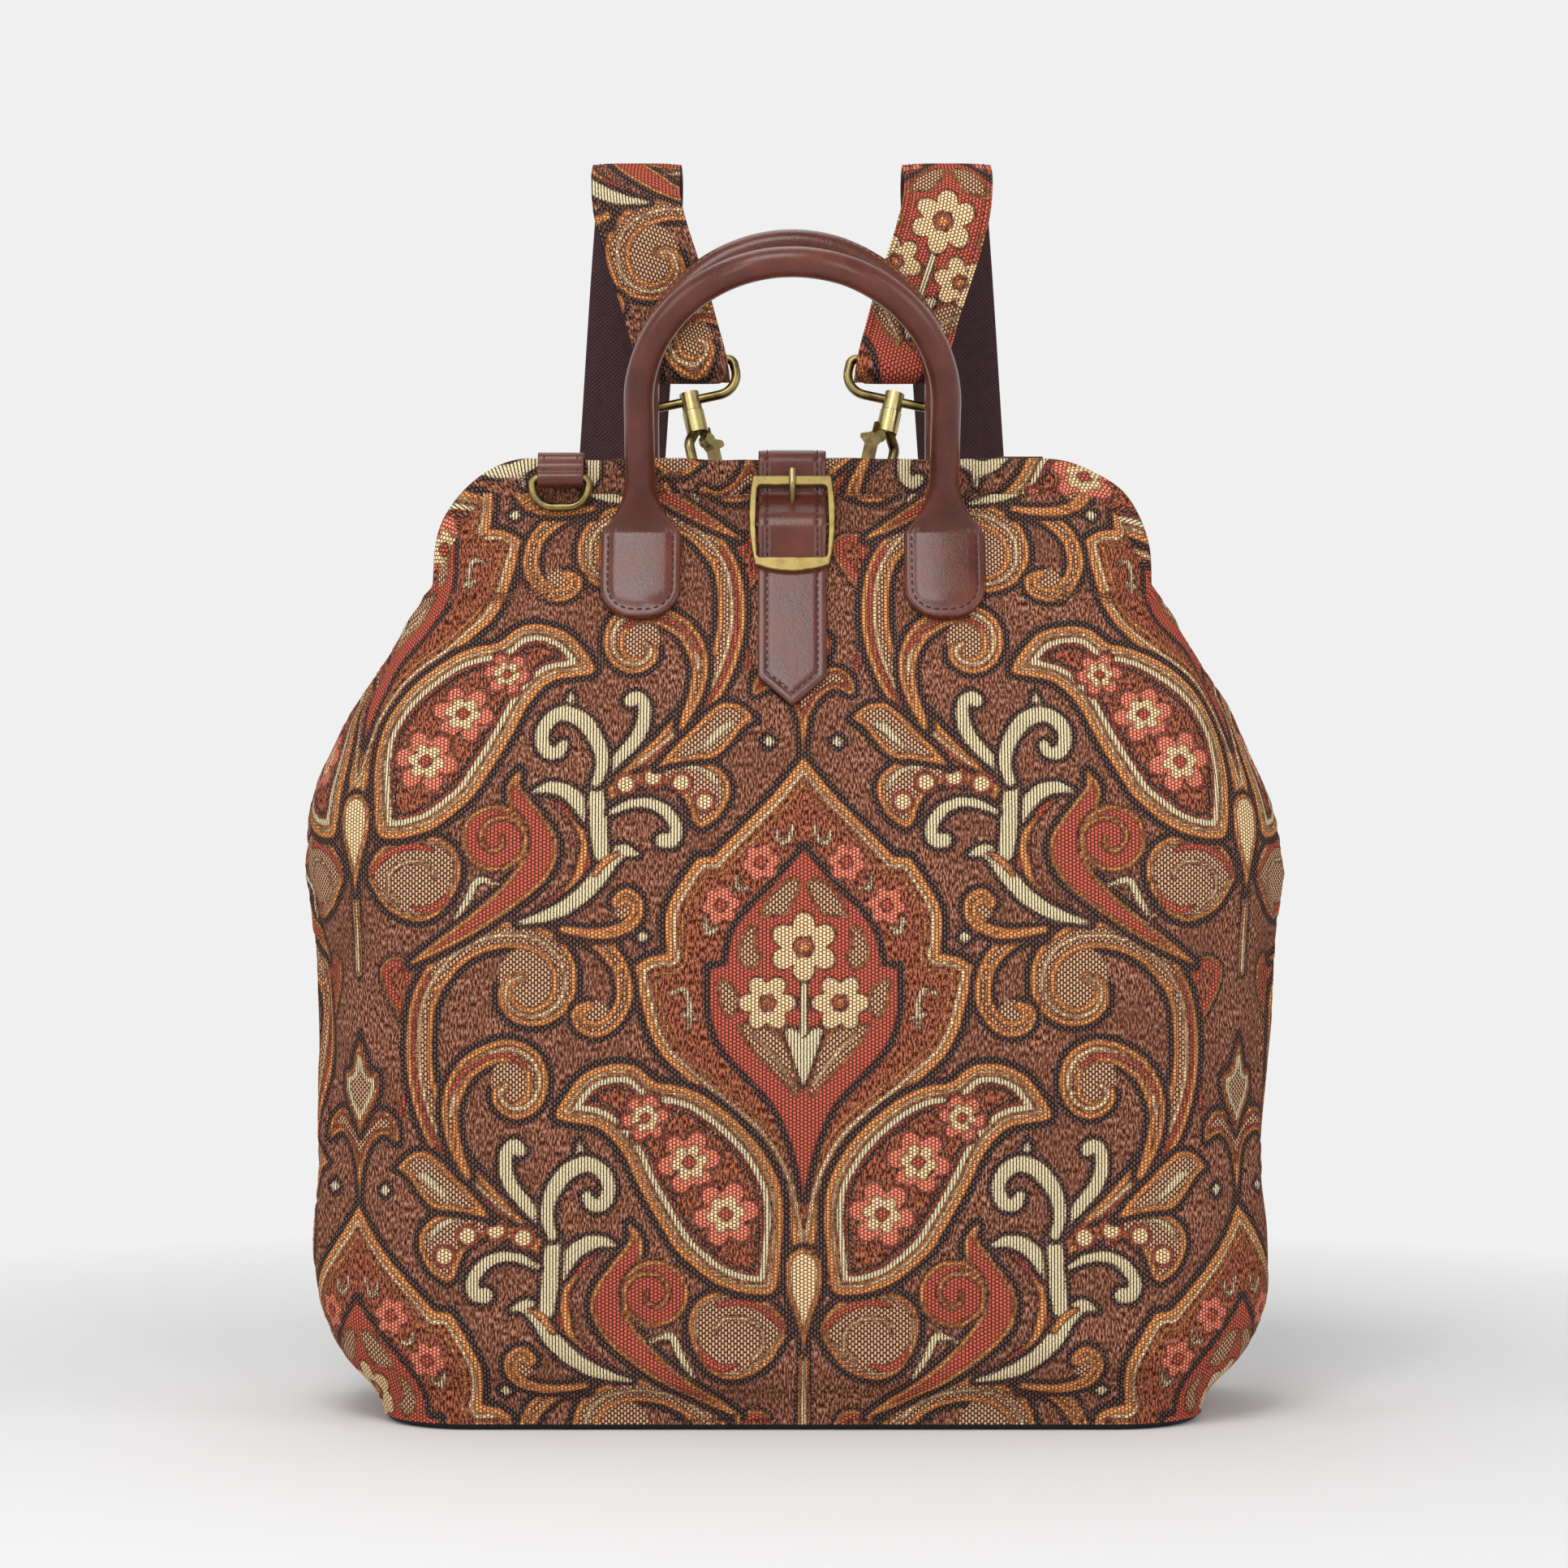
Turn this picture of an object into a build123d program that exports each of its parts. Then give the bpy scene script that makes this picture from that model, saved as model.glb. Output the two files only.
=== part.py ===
from build123d import *
import os
from math import atan, cos, degrees, radians, sin, sqrt, tan

os.makedirs("parts", exist_ok=True)

# Air between pieces that lie against each other, between a pin and its hole, and past a cut
fit_gap = 0.3
pin_gap = 0.05
cut_overrun = 10.0

# Bag body: outside half sizes at the levels that shape it
base_height = 6.0
seam_height = 378.0
slope_rise = 88.0
rim_rise = 36.0
shoulder_half_width = 200.0
bend_half_width = 184.0
hinge_half_width = 151.0
seam_half_width = 137.0
belly_half_depth = 77.0
bend_half_depth = 56.0
seam_half_depth = 15.5
bend_corner_radius = 42.0
hinge_corner_radius = 26.0
seam_corner_radius = 11.0
front_bow = 5.0
# Lower levels as shares: height up to the bend, half width, half depth, corner of the half depth,
# and how far the soft front swells past its corners
lower_section_shares = [
    (0.0, 0.84, 0.90, 0.50, 0.0),
    (0.08, 0.93, 0.97, 0.60, 0.4),
    (0.37, 0.96, 1.0, 0.65, 1.0),
    (0.65, 0.978, 0.985, 0.65, 1.0),
    (0.85, 1.0, 0.885, 0.62, 0.5),
]
cloth_wall = 2.4
base_edge_radius = 5.0
board_thickness = 3.0
board_margin = 14.0
lining_gap = 0.5
lining_wall = 0.8

# Laptop sleeve inside the back
sleeve_width = 296.0
sleeve_depth = 28.0
sleeve_headroom = 33.2
sleeve_wall = 4.0
sleeve_back_depth = 60.0

# Mouth rim: padded casings with a steel bar in each
mouth_gap = 6.0
rim_depth = 12.0
rim_width = 18.0
rim_edge_radius = 5.0
rim_leg_half_span = 141.0
rim_bend_radius = 35.0
bar_thickness = 3.0
bar_width = 10.0
bar_edge_radius = 0.8
ear_thickness = 2.0
ear_radius = 4.5
ear_root = 4.0
rivet_radius = 1.5
rivet_head_radius = 3.2
rivet_head_thickness = 1.2

# Rolled leather handles
handle_half_span = 62.5
handle_leg = 52.0
handle_radius = 5.7
handle_flare = 17.0
handle_waist_width = 15.0
handle_waist_thickness = 7.0
handle_waist_lift = 0.8
handle_tab_width = 33.0
handle_tab_length = 43.0
handle_tab_thickness = 4.0
handle_tab_corner = 14.0
front_handle_drop = 12.0
back_handle_drop = 7.0
front_handle_lean = 30.0
back_handle_lean = 4.0

# Closing strap
strap_width = 28.0
strap_thickness = 2.4
strap_back_drop = 38.0
strap_tail_drop = 86.0
strap_point = 13.0
strap_weave_radius = 5.0
weave_half_flat = 2.2
snap_drop = 65.0
snap_radius = 8.0
snap_socket_thickness = 1.4
snap_socket_depth = 1.2
snap_stud_thickness = 1.0

# Buckle on the closing strap
buckle_drop = 13.0
buckle_half_width = 17.7
buckle_half_length = 21.5
buckle_side_bar = 2.8
buckle_top_bar = 4.4
buckle_bottom_bar = 6.4
buckle_thickness = 2.4
buckle_lift = 4.5
buckle_tilt = 4.5
buckle_edge_radius = 0.6
buckle_corner_radius = 1.5
centre_bar_radius = 1.1
tongue_radius = 1.4
tongue_root = 2.0
tongue_overhang = 1.5
# Corners and bottom of the buckle's outline as shares of its half sizes
buckle_top_share = 0.92
buckle_foot_share = 0.86
buckle_foot_drop_share = 0.86

# D-rings and the leather loops that hold them
ring_wire_radius = 1.7
ring_inner_width = 20.0
ring_reach = 12.0
ring_foot_radius = 2.4
ring_bow_radius = 9.0
tab_ply = 1.6
tab_width = 19.0
tab_thickness = 3.0
tab_length = 30.0
carry_ring_inset = 45.0
carry_tab_drop = 9.5
carry_tab_cover = 10.0
carry_ring_lean = 7.0
top_tab_drop = 3.0
top_ring_x = 35.0
top_ring_lean = 30.0
low_tab_height = 62.0
low_ring_x = 105.0
low_ring_lean = 35.0
low_tab_gap = 0.5

# Swivel hooks, with the stem's top at the collar as origin
eye_wire_radius = 2.0
eye_inner_width = 39.2
eye_foot = 4.6
eye_height = 15.0
eye_top_corner = 3.0
eye_foot_corner = 9.0
boss_radius = 4.2
boss_height = 8.0
stem_radius = 1.8
stem_length = 5.6
stem_head_radius = 3.0
stem_head_thickness = 1.8
collar_radius = 4.6
collar_length = 10.0
hook_wire_radius = 2.2
hook_half_width = 7.0
hook_neck = 15.0
hook_length = 39.0
hook_bow_radius = 6.8
hook_tip = 27.0
gate_pin_x = 4.6
gate_pin_drop = 13.2
gate_pin_radius = 1.0
gate_lug_radius = 2.6
gate_lug_half_thickness = 1.0
gate_cheek = 1.2
gate_bar_width = 3.2
gate_bar_top = 17.6
gate_thumb_reach = 5.8
gate_thumb_drop = 1.8
gate_thumb_radius = 1.6
top_hook_tilt = 12.0
top_hook_sway = 12.5
top_hook_spin = 45.0
ring_slack = 1.3
low_hook_tilt = 5.0
low_hook_sway = -4.0
low_hook_spin = 60.0

# Shoulder straps: webbing inside, tapestry face outside
webbing_width = 38.0
webbing_thickness = 1.8
face_width = 38.0
face_thickness = 2.2
crown_rise = 133.0
crown_depth = 63.0
crown_half_depth = 19.0
crown_shoulder_drop = 17.0
crown_x = 67.0
belly_drop = 96.0
belly_depth = 113.0
belly_x = 84.0
slider_share = 0.80
# Places along a strap, closer together over its crown
strap_station_shares = [
    0.0, 0.008, 0.05, 0.09, 0.11, 0.124, 0.138, 0.152, 0.166, 0.18, 0.194, 0.208, 0.222,
    0.236, 0.25, 0.27, 0.30, 0.36, 0.43, 0.50, 0.57, 0.64, 0.72, 0.80, 0.90, 1.0,
]
face_gap = 0.1
face_stations = 22

# Strap adjuster
slider_side = 3.0
slider_length = 22.0
slider_bar_radius = 1.5
slider_gap = 0.9


bend_height = seam_height - slope_rise
hinge_height = seam_height - rim_rise
slope = (bend_half_depth - seam_half_depth) / slope_rise
slope_angle = degrees(atan(slope))
rim_outer_depth = mouth_gap / 2 + rim_depth
rim_mid_depth = mouth_gap / 2 + rim_depth / 2
rim_mid_height = seam_height + rim_width / 2
bag_height = seam_height + rim_width
front_handle_height = seam_height - front_handle_drop
back_handle_height = seam_height - back_handle_drop
strap_back_height = seam_height - strap_back_drop
strap_tail_height = seam_height - strap_tail_drop
snap_height = seam_height - snap_drop
buckle_height = seam_height - buckle_drop
top_tab_height = seam_height - top_tab_drop
carry_ring_x = rim_leg_half_span - carry_ring_inset
strap_top = bag_height + crown_rise
belly_height = bag_height - belly_drop
ring_hole_radius = ring_wire_radius + fit_gap
tab_loop_radius = ring_hole_radius + tab_ply
webbing_hole_radius = eye_wire_radius + fit_gap
webbing_loop_radius = webbing_hole_radius + webbing_thickness


def save(part, name):
    part.label = name
    export_step(part, "parts/" + name + ".step")


def slope_depth(height):
    return seam_half_depth + (seam_height - height) * slope


def slope_plane(side, height, lift=0, x=0):
    tilt = radians(slope_angle)
    normal = Vector(0, side * cos(tilt), sin(tilt))
    foot = Vector(x, side * slope_depth(height), height)
    return Plane(origin=foot + normal * lift, x_dir=(-side, 0, 0), z_dir=normal)


def cross_plane(seat):
    return Plane(origin=seat.origin, x_dir=seat.y_dir, z_dir=seat.x_dir)


# Bag body

lower_sections = []
for height_share, width_share, depth_share, corner_share, bow_share in lower_section_shares:
    lower_sections.append(
        (
            base_height + height_share * (bend_height - base_height),
            width_share * shoulder_half_width,
            depth_share * belly_half_depth,
            corner_share * belly_half_depth,
            bow_share * front_bow,
        )
    )
lower_sections.append((bend_height, bend_half_width, bend_half_depth, bend_corner_radius, 0))
upper_sections = [
    lower_sections[-1],
    (hinge_height, hinge_half_width, slope_depth(hinge_height), hinge_corner_radius, 0),
    (seam_height, seam_half_width, seam_half_depth, seam_corner_radius, 0),
]
base_half_width = lower_sections[0][1]
base_half_depth = lower_sections[0][2]
base_corner_radius = lower_sections[0][3]


def body_outline(half_width, half_depth, corner, bow):
    flat_half = half_width - corner
    side_half = half_depth - corner
    with BuildLine() as outline:
        Line((flat_half, half_depth), (-flat_half, half_depth))
        CenterArc((-flat_half, side_half), corner, 90, 90)
        Line((-half_width, side_half), (-half_width, -side_half))
        CenterArc((-flat_half, -side_half), corner, 180, 90)
        if bow > 0:
            ThreePointArc((-flat_half, -half_depth), (0, -half_depth - bow), (flat_half, -half_depth))
        else:
            Line((-flat_half, -half_depth), (flat_half, -half_depth))
        CenterArc((flat_half, -side_half), corner, 270, 90)
        Line((half_width, -side_half), (half_width, side_half))
        CenterArc((flat_half, side_half), corner, 0, 90)
    return outline.line


def body_solid(inset):
    with BuildPart() as body:
        for height, half_width, half_depth, corner, bow in lower_sections:
            with BuildSketch(Plane.XY.offset(height)):
                add(body_outline(half_width - inset, half_depth - inset, corner - inset, bow))
                make_face()
        loft()
        for height, half_width, half_depth, corner, bow in upper_sections:
            with BuildSketch(Plane.XY.offset(height)):
                add(body_outline(half_width - inset, half_depth - inset, corner - inset, bow))
                make_face()
        loft(ruled=True)
    return body.part


def rim_wire(side):
    with BuildLine(Plane.XZ.offset(-side * rim_mid_depth)) as path:
        FilletPolyline(
            (-rim_leg_half_span, hinge_height),
            (-rim_leg_half_span, rim_mid_height),
            (rim_leg_half_span, rim_mid_height),
            (rim_leg_half_span, hinge_height),
            radius=rim_bend_radius,
        )
    return path.wire()


def rim_start(path):
    return Plane(origin=path @ 0, x_dir=(0, 1, 0), z_dir=path % 0)


def rim_sweep(side, depth, width, corner):
    path = rim_wire(side)
    with BuildPart() as rim:
        with BuildSketch(rim_start(path)):
            RectangleRounded(depth, width, corner)
        sweep(path=path)
    return rim.part


# Room that the rim and the mouth take out of the cloth
front_rim_room = rim_sweep(-1, rim_depth + 2 * fit_gap, rim_width + 2 * fit_gap, rim_edge_radius + fit_gap)
back_rim_room = rim_sweep(1, rim_depth + 2 * fit_gap, rim_width + 2 * fit_gap, rim_edge_radius + fit_gap)
slot_inner = rim_leg_half_span - rim_width / 2 - fit_gap
slot_length = hinge_half_width - slot_inner + cut_overrun
with BuildPart() as mouth_room:
    with BuildSketch(Plane.XY.offset(hinge_height - fit_gap)):
        with Locations(
            (slot_inner + slot_length / 2, 0),
            (-slot_inner - slot_length / 2, 0),
        ):
            Rectangle(slot_length, 2 * (rim_outer_depth + fit_gap))
    extrude(amount=rim_width + seam_height - hinge_height)
    with BuildSketch(Plane.XY.offset(seam_height - fit_gap)):
        Rectangle(2 * hinge_half_width, 4 * rim_outer_depth)
    extrude(amount=rim_width)
    add(front_rim_room)
    add(back_rim_room)

body_outside = body_solid(0)
body_inside = body_solid(cloth_wall)
lining_outside = body_solid(cloth_wall + lining_gap)
lining_inside = body_solid(cloth_wall + lining_gap + lining_wall)

with BuildPart() as front_panel:
    add(body_outside)
    add(body_inside, mode=Mode.SUBTRACT)
    add(mouth_room.part, mode=Mode.SUBTRACT)
    split(bisect_by=Plane.XZ, keep=Keep.TOP)
    with BuildSketch(slope_plane(-1, snap_height)):
        Circle(snap_radius + fit_gap)
    extrude(amount=-snap_socket_depth, mode=Mode.SUBTRACT)

with BuildPart() as back_panel:
    add(body_outside)
    add(body_inside, mode=Mode.SUBTRACT)
    add(mouth_room.part, mode=Mode.SUBTRACT)
    split(bisect_by=Plane.XZ, keep=Keep.BOTTOM)

with BuildPart() as lining_room:
    add(lining_inside)
    split(bisect_by=Plane.XY.offset(base_height + lining_wall), keep=Keep.TOP)

with BuildPart() as lining:
    add(lining_outside)
    add(lining_room.part, mode=Mode.SUBTRACT)
    add(mouth_room.part, mode=Mode.SUBTRACT)

with BuildPart() as base_panel:
    with BuildSketch():
        RectangleRounded(2 * base_half_width, 2 * base_half_depth, base_corner_radius)
    extrude(amount=base_height)
    fillet(faces().sort_by(Axis.Z)[0].edges(), radius=base_edge_radius)
    with BuildSketch(Plane.XY.offset(base_height)):
        RectangleRounded(
            2 * (base_half_width - board_margin + fit_gap),
            2 * (base_half_depth - board_margin + fit_gap),
            base_corner_radius - board_margin + fit_gap,
        )
    extrude(amount=-board_thickness, mode=Mode.SUBTRACT)

with BuildPart() as base_board:
    with BuildSketch(Plane.XY.offset(base_height)):
        RectangleRounded(
            2 * (base_half_width - board_margin),
            2 * (base_half_depth - board_margin),
            base_corner_radius - board_margin,
        )
    extrude(amount=-board_thickness)

# Pocket open at the top and toward the back lining
sleeve_floor = base_height + lining_wall
sleeve_height = bend_height - sleeve_headroom - sleeve_floor
with BuildPart() as laptop_sleeve:
    with BuildSketch(Plane.XY.offset(sleeve_floor)):
        with Locations((0, sleeve_back_depth)):
            Rectangle(sleeve_width, sleeve_depth, align=(Align.CENTER, Align.MAX))
    extrude(amount=sleeve_height)
    with BuildSketch(Plane.XY.offset(sleeve_floor + sleeve_wall)):
        with Locations((0, sleeve_back_depth + cut_overrun)):
            Rectangle(
                sleeve_width - 2 * sleeve_wall,
                sleeve_depth - sleeve_wall + cut_overrun,
                align=(Align.CENTER, Align.MAX),
            )
    extrude(amount=sleeve_height, mode=Mode.SUBTRACT)

# Mouth rim


def casing(side):
    path = rim_wire(side)
    with BuildPart() as sleeve:
        with BuildSketch(rim_start(path)):
            RectangleRounded(rim_depth, rim_width, rim_edge_radius)
            RectangleRounded(
                bar_thickness + 2 * fit_gap,
                bar_width + 2 * fit_gap,
                bar_edge_radius + fit_gap,
                mode=Mode.SUBTRACT,
            )
        sweep(path=path)
    return sleeve.part


rivet_height = hinge_height - fit_gap - ear_radius


def frame_bar(side):
    path = rim_wire(side)
    ear_offset = -side * (ear_thickness + fit_gap) / 2
    with BuildPart() as frame:
        with BuildSketch(rim_start(path)):
            RectangleRounded(bar_thickness, bar_width, bar_edge_radius)
        sweep(path=path)
        for hand in (-1, 1):
            with BuildSketch(Plane.YZ.offset(hand * (rim_leg_half_span - ear_offset))):
                with Locations((side * rim_mid_depth / 2, rivet_height)):
                    Rectangle(rim_mid_depth + bar_thickness, 2 * ear_radius)
                with Locations((side * rim_mid_depth, rivet_height - ear_radius)):
                    Rectangle(
                        bar_thickness,
                        hinge_height + ear_root - rivet_height + ear_radius,
                        align=(Align.CENTER, Align.MIN),
                    )
                with Locations((0, rivet_height)):
                    Circle(ear_radius)
                    Circle(rivet_radius + pin_gap, mode=Mode.SUBTRACT)
            extrude(amount=ear_thickness / 2, both=True)
    return frame.part


front_casing = casing(-1)
back_casing = casing(1)
front_frame = frame_bar(-1)
back_frame = frame_bar(1)


def frame_rivet(hand):
    half_stack = ear_thickness + fit_gap / 2 + pin_gap
    with BuildPart() as rivet:
        with BuildSketch(Plane.YZ.offset(hand * rim_leg_half_span)):
            with Locations((0, rivet_height)):
                Circle(rivet_radius)
        extrude(amount=half_stack, both=True)
        for end in (-1, 1):
            with BuildSketch(Plane.YZ.offset(hand * rim_leg_half_span + end * half_stack)):
                with Locations((0, rivet_height)):
                    Circle(rivet_head_radius)
            extrude(amount=end * rivet_head_thickness)
    return rivet.part


# Handles


def handle(side, height, lean):
    seat = slope_plane(side, height, fit_gap)
    root = slope_plane(side, height, fit_gap + handle_tab_thickness / 2)
    tilt = radians(lean)
    up = Vector(0, side * sin(tilt), cos(tilt))
    arch = Plane(origin=root.origin, x_dir=root.x_dir, z_dir=root.x_dir.cross(up))
    with BuildLine(arch) as path:
        rise = Line((-handle_half_span, handle_flare), (-handle_half_span, handle_leg))
        bow = ThreePointArc(
            rise @ 1,
            arch.from_local_coords((0, handle_leg + handle_half_span)),
            arch.from_local_coords((handle_half_span, handle_leg)),
        )
        Line(bow @ 1, arch.from_local_coords((handle_half_span, handle_flare)))
    tube = path.wire()
    waist_up = (up + root.y_dir).normalized()
    with BuildPart() as grip:
        with BuildSketch(Plane(origin=tube @ 0, x_dir=root.x_dir, z_dir=up)):
            Circle(handle_radius)
        sweep(path=tube)
        for hand in (-1, 1):
            foot = root.origin + root.x_dir * (hand * handle_half_span)
            with BuildSketch(Plane(origin=foot + up * handle_flare, x_dir=root.x_dir, z_dir=up)):
                RectangleRounded(2 * handle_radius, 2 * handle_radius, handle_radius - pin_gap)
            waist = foot + waist_up * (handle_flare / 2) + root.z_dir * handle_waist_lift
            with BuildSketch(Plane(origin=waist, x_dir=root.x_dir, z_dir=waist_up)):
                RectangleRounded(
                    handle_waist_width,
                    handle_waist_thickness,
                    handle_waist_thickness / 2 - pin_gap,
                )
            with BuildSketch(Plane(origin=foot, x_dir=root.x_dir, z_dir=root.y_dir)):
                RectangleRounded(handle_tab_width, handle_tab_thickness, handle_tab_thickness / 2 - pin_gap)
            loft()
        with BuildSketch(seat):
            with Locations((-handle_half_span, 0), (handle_half_span, 0)):
                Rectangle(handle_tab_width, handle_tab_length, align=(Align.CENTER, Align.MAX))
            fillet(vertices().group_by(Axis.Y)[0], radius=handle_tab_corner)
        extrude(amount=handle_tab_thickness)
    return grip.part


front_handle = handle(-1, front_handle_height, front_handle_lean)
back_handle = handle(1, back_handle_height, back_handle_lean)

# Buckle and closing strap

buckle_seat = slope_plane(-1, buckle_height)
strap_lift = fit_gap + strap_thickness / 2
weave_lift = buckle_lift + centre_bar_radius + fit_gap + strap_thickness / 2
buckle_tip = buckle_half_length - buckle_top_bar
buckle_toe = buckle_half_length - buckle_bottom_bar


def front_place(along, lift):
    place = buckle_seat.from_local_coords((0, along, lift))
    return (place.Y, place.Z)


def tongue_wire():
    bar_front = buckle_lift + buckle_thickness + tongue_radius + fit_gap
    bar_rise = tan(radians(buckle_tilt))
    bend = buckle_tip - tongue_radius
    tip = buckle_half_length + tongue_overhang
    with BuildLine(cross_plane(buckle_seat)) as path:
        FilletPolyline(
            (-tongue_root, tongue_radius + fit_gap),
            (buckle_tip / 2, tongue_radius + fit_gap),
            (bend, bar_front + buckle_tip * bar_rise),
            (tip, bar_front + tip * bar_rise),
            radius=2 * tongue_radius,
        )
    return path.wire()


def tongue_sweep(radius):
    path = tongue_wire()
    with BuildPart() as prong:
        with BuildSketch(Plane(origin=path @ 0, z_dir=path % 0)):
            Circle(radius)
        sweep(path=path)
    return prong.part


rim_run = rim_outer_depth + strap_lift
strap_top_height = bag_height + strap_lift
turn_depth = rim_run - strap_lift / cos(radians(slope_angle))
turn_height = seam_height + (seam_half_depth - turn_depth) / slope
tail_depth = slope_depth(strap_tail_height) + strap_lift / cos(radians(slope_angle))
back_depth = slope_depth(strap_back_height) + strap_lift / cos(radians(slope_angle))
with BuildLine(Plane.YZ) as strap_path:
    FilletPolyline(
        (back_depth, strap_back_height),
        (rim_run, turn_height),
        (rim_run, strap_top_height),
        (-rim_run, strap_top_height),
        (-rim_run, turn_height),
        front_place(weave_half_flat, weave_lift),
        front_place(-weave_half_flat, weave_lift),
        front_place(-buckle_toe + fit_gap, strap_lift),
        (-tail_depth, strap_tail_height),
        radius=strap_weave_radius,
    )

tongue_room = tongue_sweep(tongue_radius + fit_gap)
tail_seat = slope_plane(-1, strap_tail_height)
with BuildPart() as closure_strap:
    strap_wire = strap_path.wire()
    with BuildSketch(Plane(origin=strap_wire @ 0, x_dir=(1, 0, 0), z_dir=strap_wire % 0)):
        Rectangle(strap_width, strap_thickness)
    sweep(path=strap_wire)
    with BuildSketch(tail_seat):
        with BuildLine():
            Polyline(
                (0, 0),
                (strap_width / 2, strap_point),
                (strap_width, strap_point),
                (strap_width, -cut_overrun),
                (-strap_width, -cut_overrun),
                (-strap_width, strap_point),
                (-strap_width / 2, strap_point),
                (0, 0),
            )
        make_face()
    extrude(amount=cut_overrun, both=True, mode=Mode.SUBTRACT)
    with BuildSketch(slope_plane(-1, snap_height, fit_gap)):
        Circle(snap_radius + fit_gap)
    extrude(amount=snap_stud_thickness, mode=Mode.SUBTRACT)
    add(tongue_room, mode=Mode.SUBTRACT)

with BuildPart() as snap_socket:
    with BuildSketch(slope_plane(-1, snap_height, -snap_socket_depth)):
        Circle(snap_radius)
    extrude(amount=snap_socket_thickness)

with BuildPart() as snap_stud:
    with BuildSketch(slope_plane(-1, snap_height, fit_gap)):
        Circle(snap_radius)
    extrude(amount=snap_stud_thickness)

buckle_mid = slope_plane(-1, buckle_height, buckle_lift)
buckle_plane = buckle_mid.rotated((buckle_tilt, 0, 0))
with BuildPart() as buckle_frame:
    with BuildSketch(buckle_plane):
        with BuildLine():
            top = Line(
                (-buckle_top_share * buckle_half_width, buckle_half_length),
                (buckle_top_share * buckle_half_width, buckle_half_length),
            )
            foot_x = buckle_foot_share * buckle_half_width
            foot_y = -buckle_foot_drop_share * buckle_half_length
            ThreePointArc(top @ 1, (buckle_half_width, 0), (foot_x, foot_y))
            ThreePointArc((foot_x, foot_y), (0, -buckle_half_length), (-foot_x, foot_y))
            ThreePointArc((-foot_x, foot_y), (-buckle_half_width, 0), top @ 0)
        make_face()
        with BuildLine():
            inner_half = strap_width / 2 + fit_gap
            sill = Line((-inner_half, buckle_tip), (inner_half, buckle_tip))
            ThreePointArc(sill @ 1, (buckle_half_width - buckle_side_bar, 0), (inner_half, -buckle_toe))
            Line((inner_half, -buckle_toe), (-inner_half, -buckle_toe))
            ThreePointArc((-inner_half, -buckle_toe), (-buckle_half_width + buckle_side_bar, 0), sill @ 0)
        make_face(mode=Mode.SUBTRACT)
        fillet(vertices(), radius=buckle_corner_radius)
    extrude(amount=buckle_thickness)
    front_face = faces().sort_by(Axis(buckle_plane.origin, buckle_plane.z_dir))[-1]
    fillet(front_face.edges(), radius=buckle_edge_radius)
    with BuildSketch(Plane.YZ.offset(-buckle_half_width + buckle_side_bar / 2)):
        with Locations(front_place(0, buckle_lift)):
            Circle(centre_bar_radius)
    extrude(amount=2 * buckle_half_width - buckle_side_bar)

# D-rings and their leather loops

ring_half = ring_inner_width / 2 + ring_wire_radius
with BuildPart() as d_ring:
    with BuildLine(Plane.XZ) as ring_path:
        FilletPolyline(
            (ring_half, 0),
            (ring_half, ring_reach),
            (-ring_half, ring_reach),
            (-ring_half, 0),
            radius=[ring_foot_radius, ring_bow_radius, ring_bow_radius, ring_foot_radius],
            close=True,
        )
    with BuildSketch(Plane(origin=ring_path.wire() @ 0, z_dir=ring_path.wire() % 0)):
        Circle(ring_wire_radius)
    sweep(path=ring_path.wire())


def wall_tab(seat):
    with BuildPart() as tab:
        with BuildSketch(cross_plane(seat)):
            with Locations((0, tab_loop_radius)):
                Circle(tab_loop_radius)
            Rectangle(tab_length, tab_thickness, align=(Align.MAX, Align.MIN))
            with Locations((0, tab_loop_radius)):
                Circle(ring_hole_radius, mode=Mode.SUBTRACT)
        extrude(amount=tab_width / 2, both=True)
    return tab.part


carry_bar_height = bag_height - carry_tab_drop
carry_bar_depth = rim_outer_depth + fit_gap + tab_loop_radius


def carry_tab(side):
    seat = Plane(
        origin=(side * carry_ring_x, side * (rim_outer_depth + fit_gap), carry_bar_height),
        x_dir=(-side, 0, 0),
        z_dir=(0, side, 0),
    )
    rise = carry_tab_drop + fit_gap + tab_thickness
    with BuildPart() as tab:
        with BuildSketch(cross_plane(seat)):
            Rectangle(rise, tab_thickness, align=(Align.MIN, Align.MIN))
            with Locations((rise, tab_thickness)):
                Rectangle(tab_thickness, carry_tab_cover, align=(Align.MAX, Align.MAX))
            with Locations((0, tab_loop_radius)):
                Circle(tab_loop_radius)
                Circle(ring_hole_radius, mode=Mode.SUBTRACT)
        extrude(amount=tab_width / 2, both=True)
    return tab.part


# Swivel hook, built once with its stem along Z

eye_half = eye_inner_width / 2 + eye_wire_radius
eye_top = eye_foot + eye_height
with BuildPart() as hook_eye:
    with BuildLine(Plane.XZ) as eye_path:
        FilletPolyline(
            (eye_half, eye_foot),
            (eye_half, eye_top),
            (-eye_half, eye_top),
            (-eye_half, eye_foot),
            radius=[eye_foot_corner, eye_top_corner, eye_top_corner, eye_foot_corner],
            close=True,
        )
    with BuildSketch(Plane(origin=eye_path.wire() @ 0, z_dir=eye_path.wire() % 0)):
        Circle(eye_wire_radius)
    sweep(path=eye_path.wire())
    with BuildSketch():
        Circle(boss_radius)
    extrude(amount=boss_height)
    with BuildSketch():
        Circle(stem_radius)
    extrude(amount=-stem_length)
    with BuildSketch(Plane.XY.offset(-stem_length)):
        Circle(stem_head_radius)
    extrude(amount=-stem_head_thickness)

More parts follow.
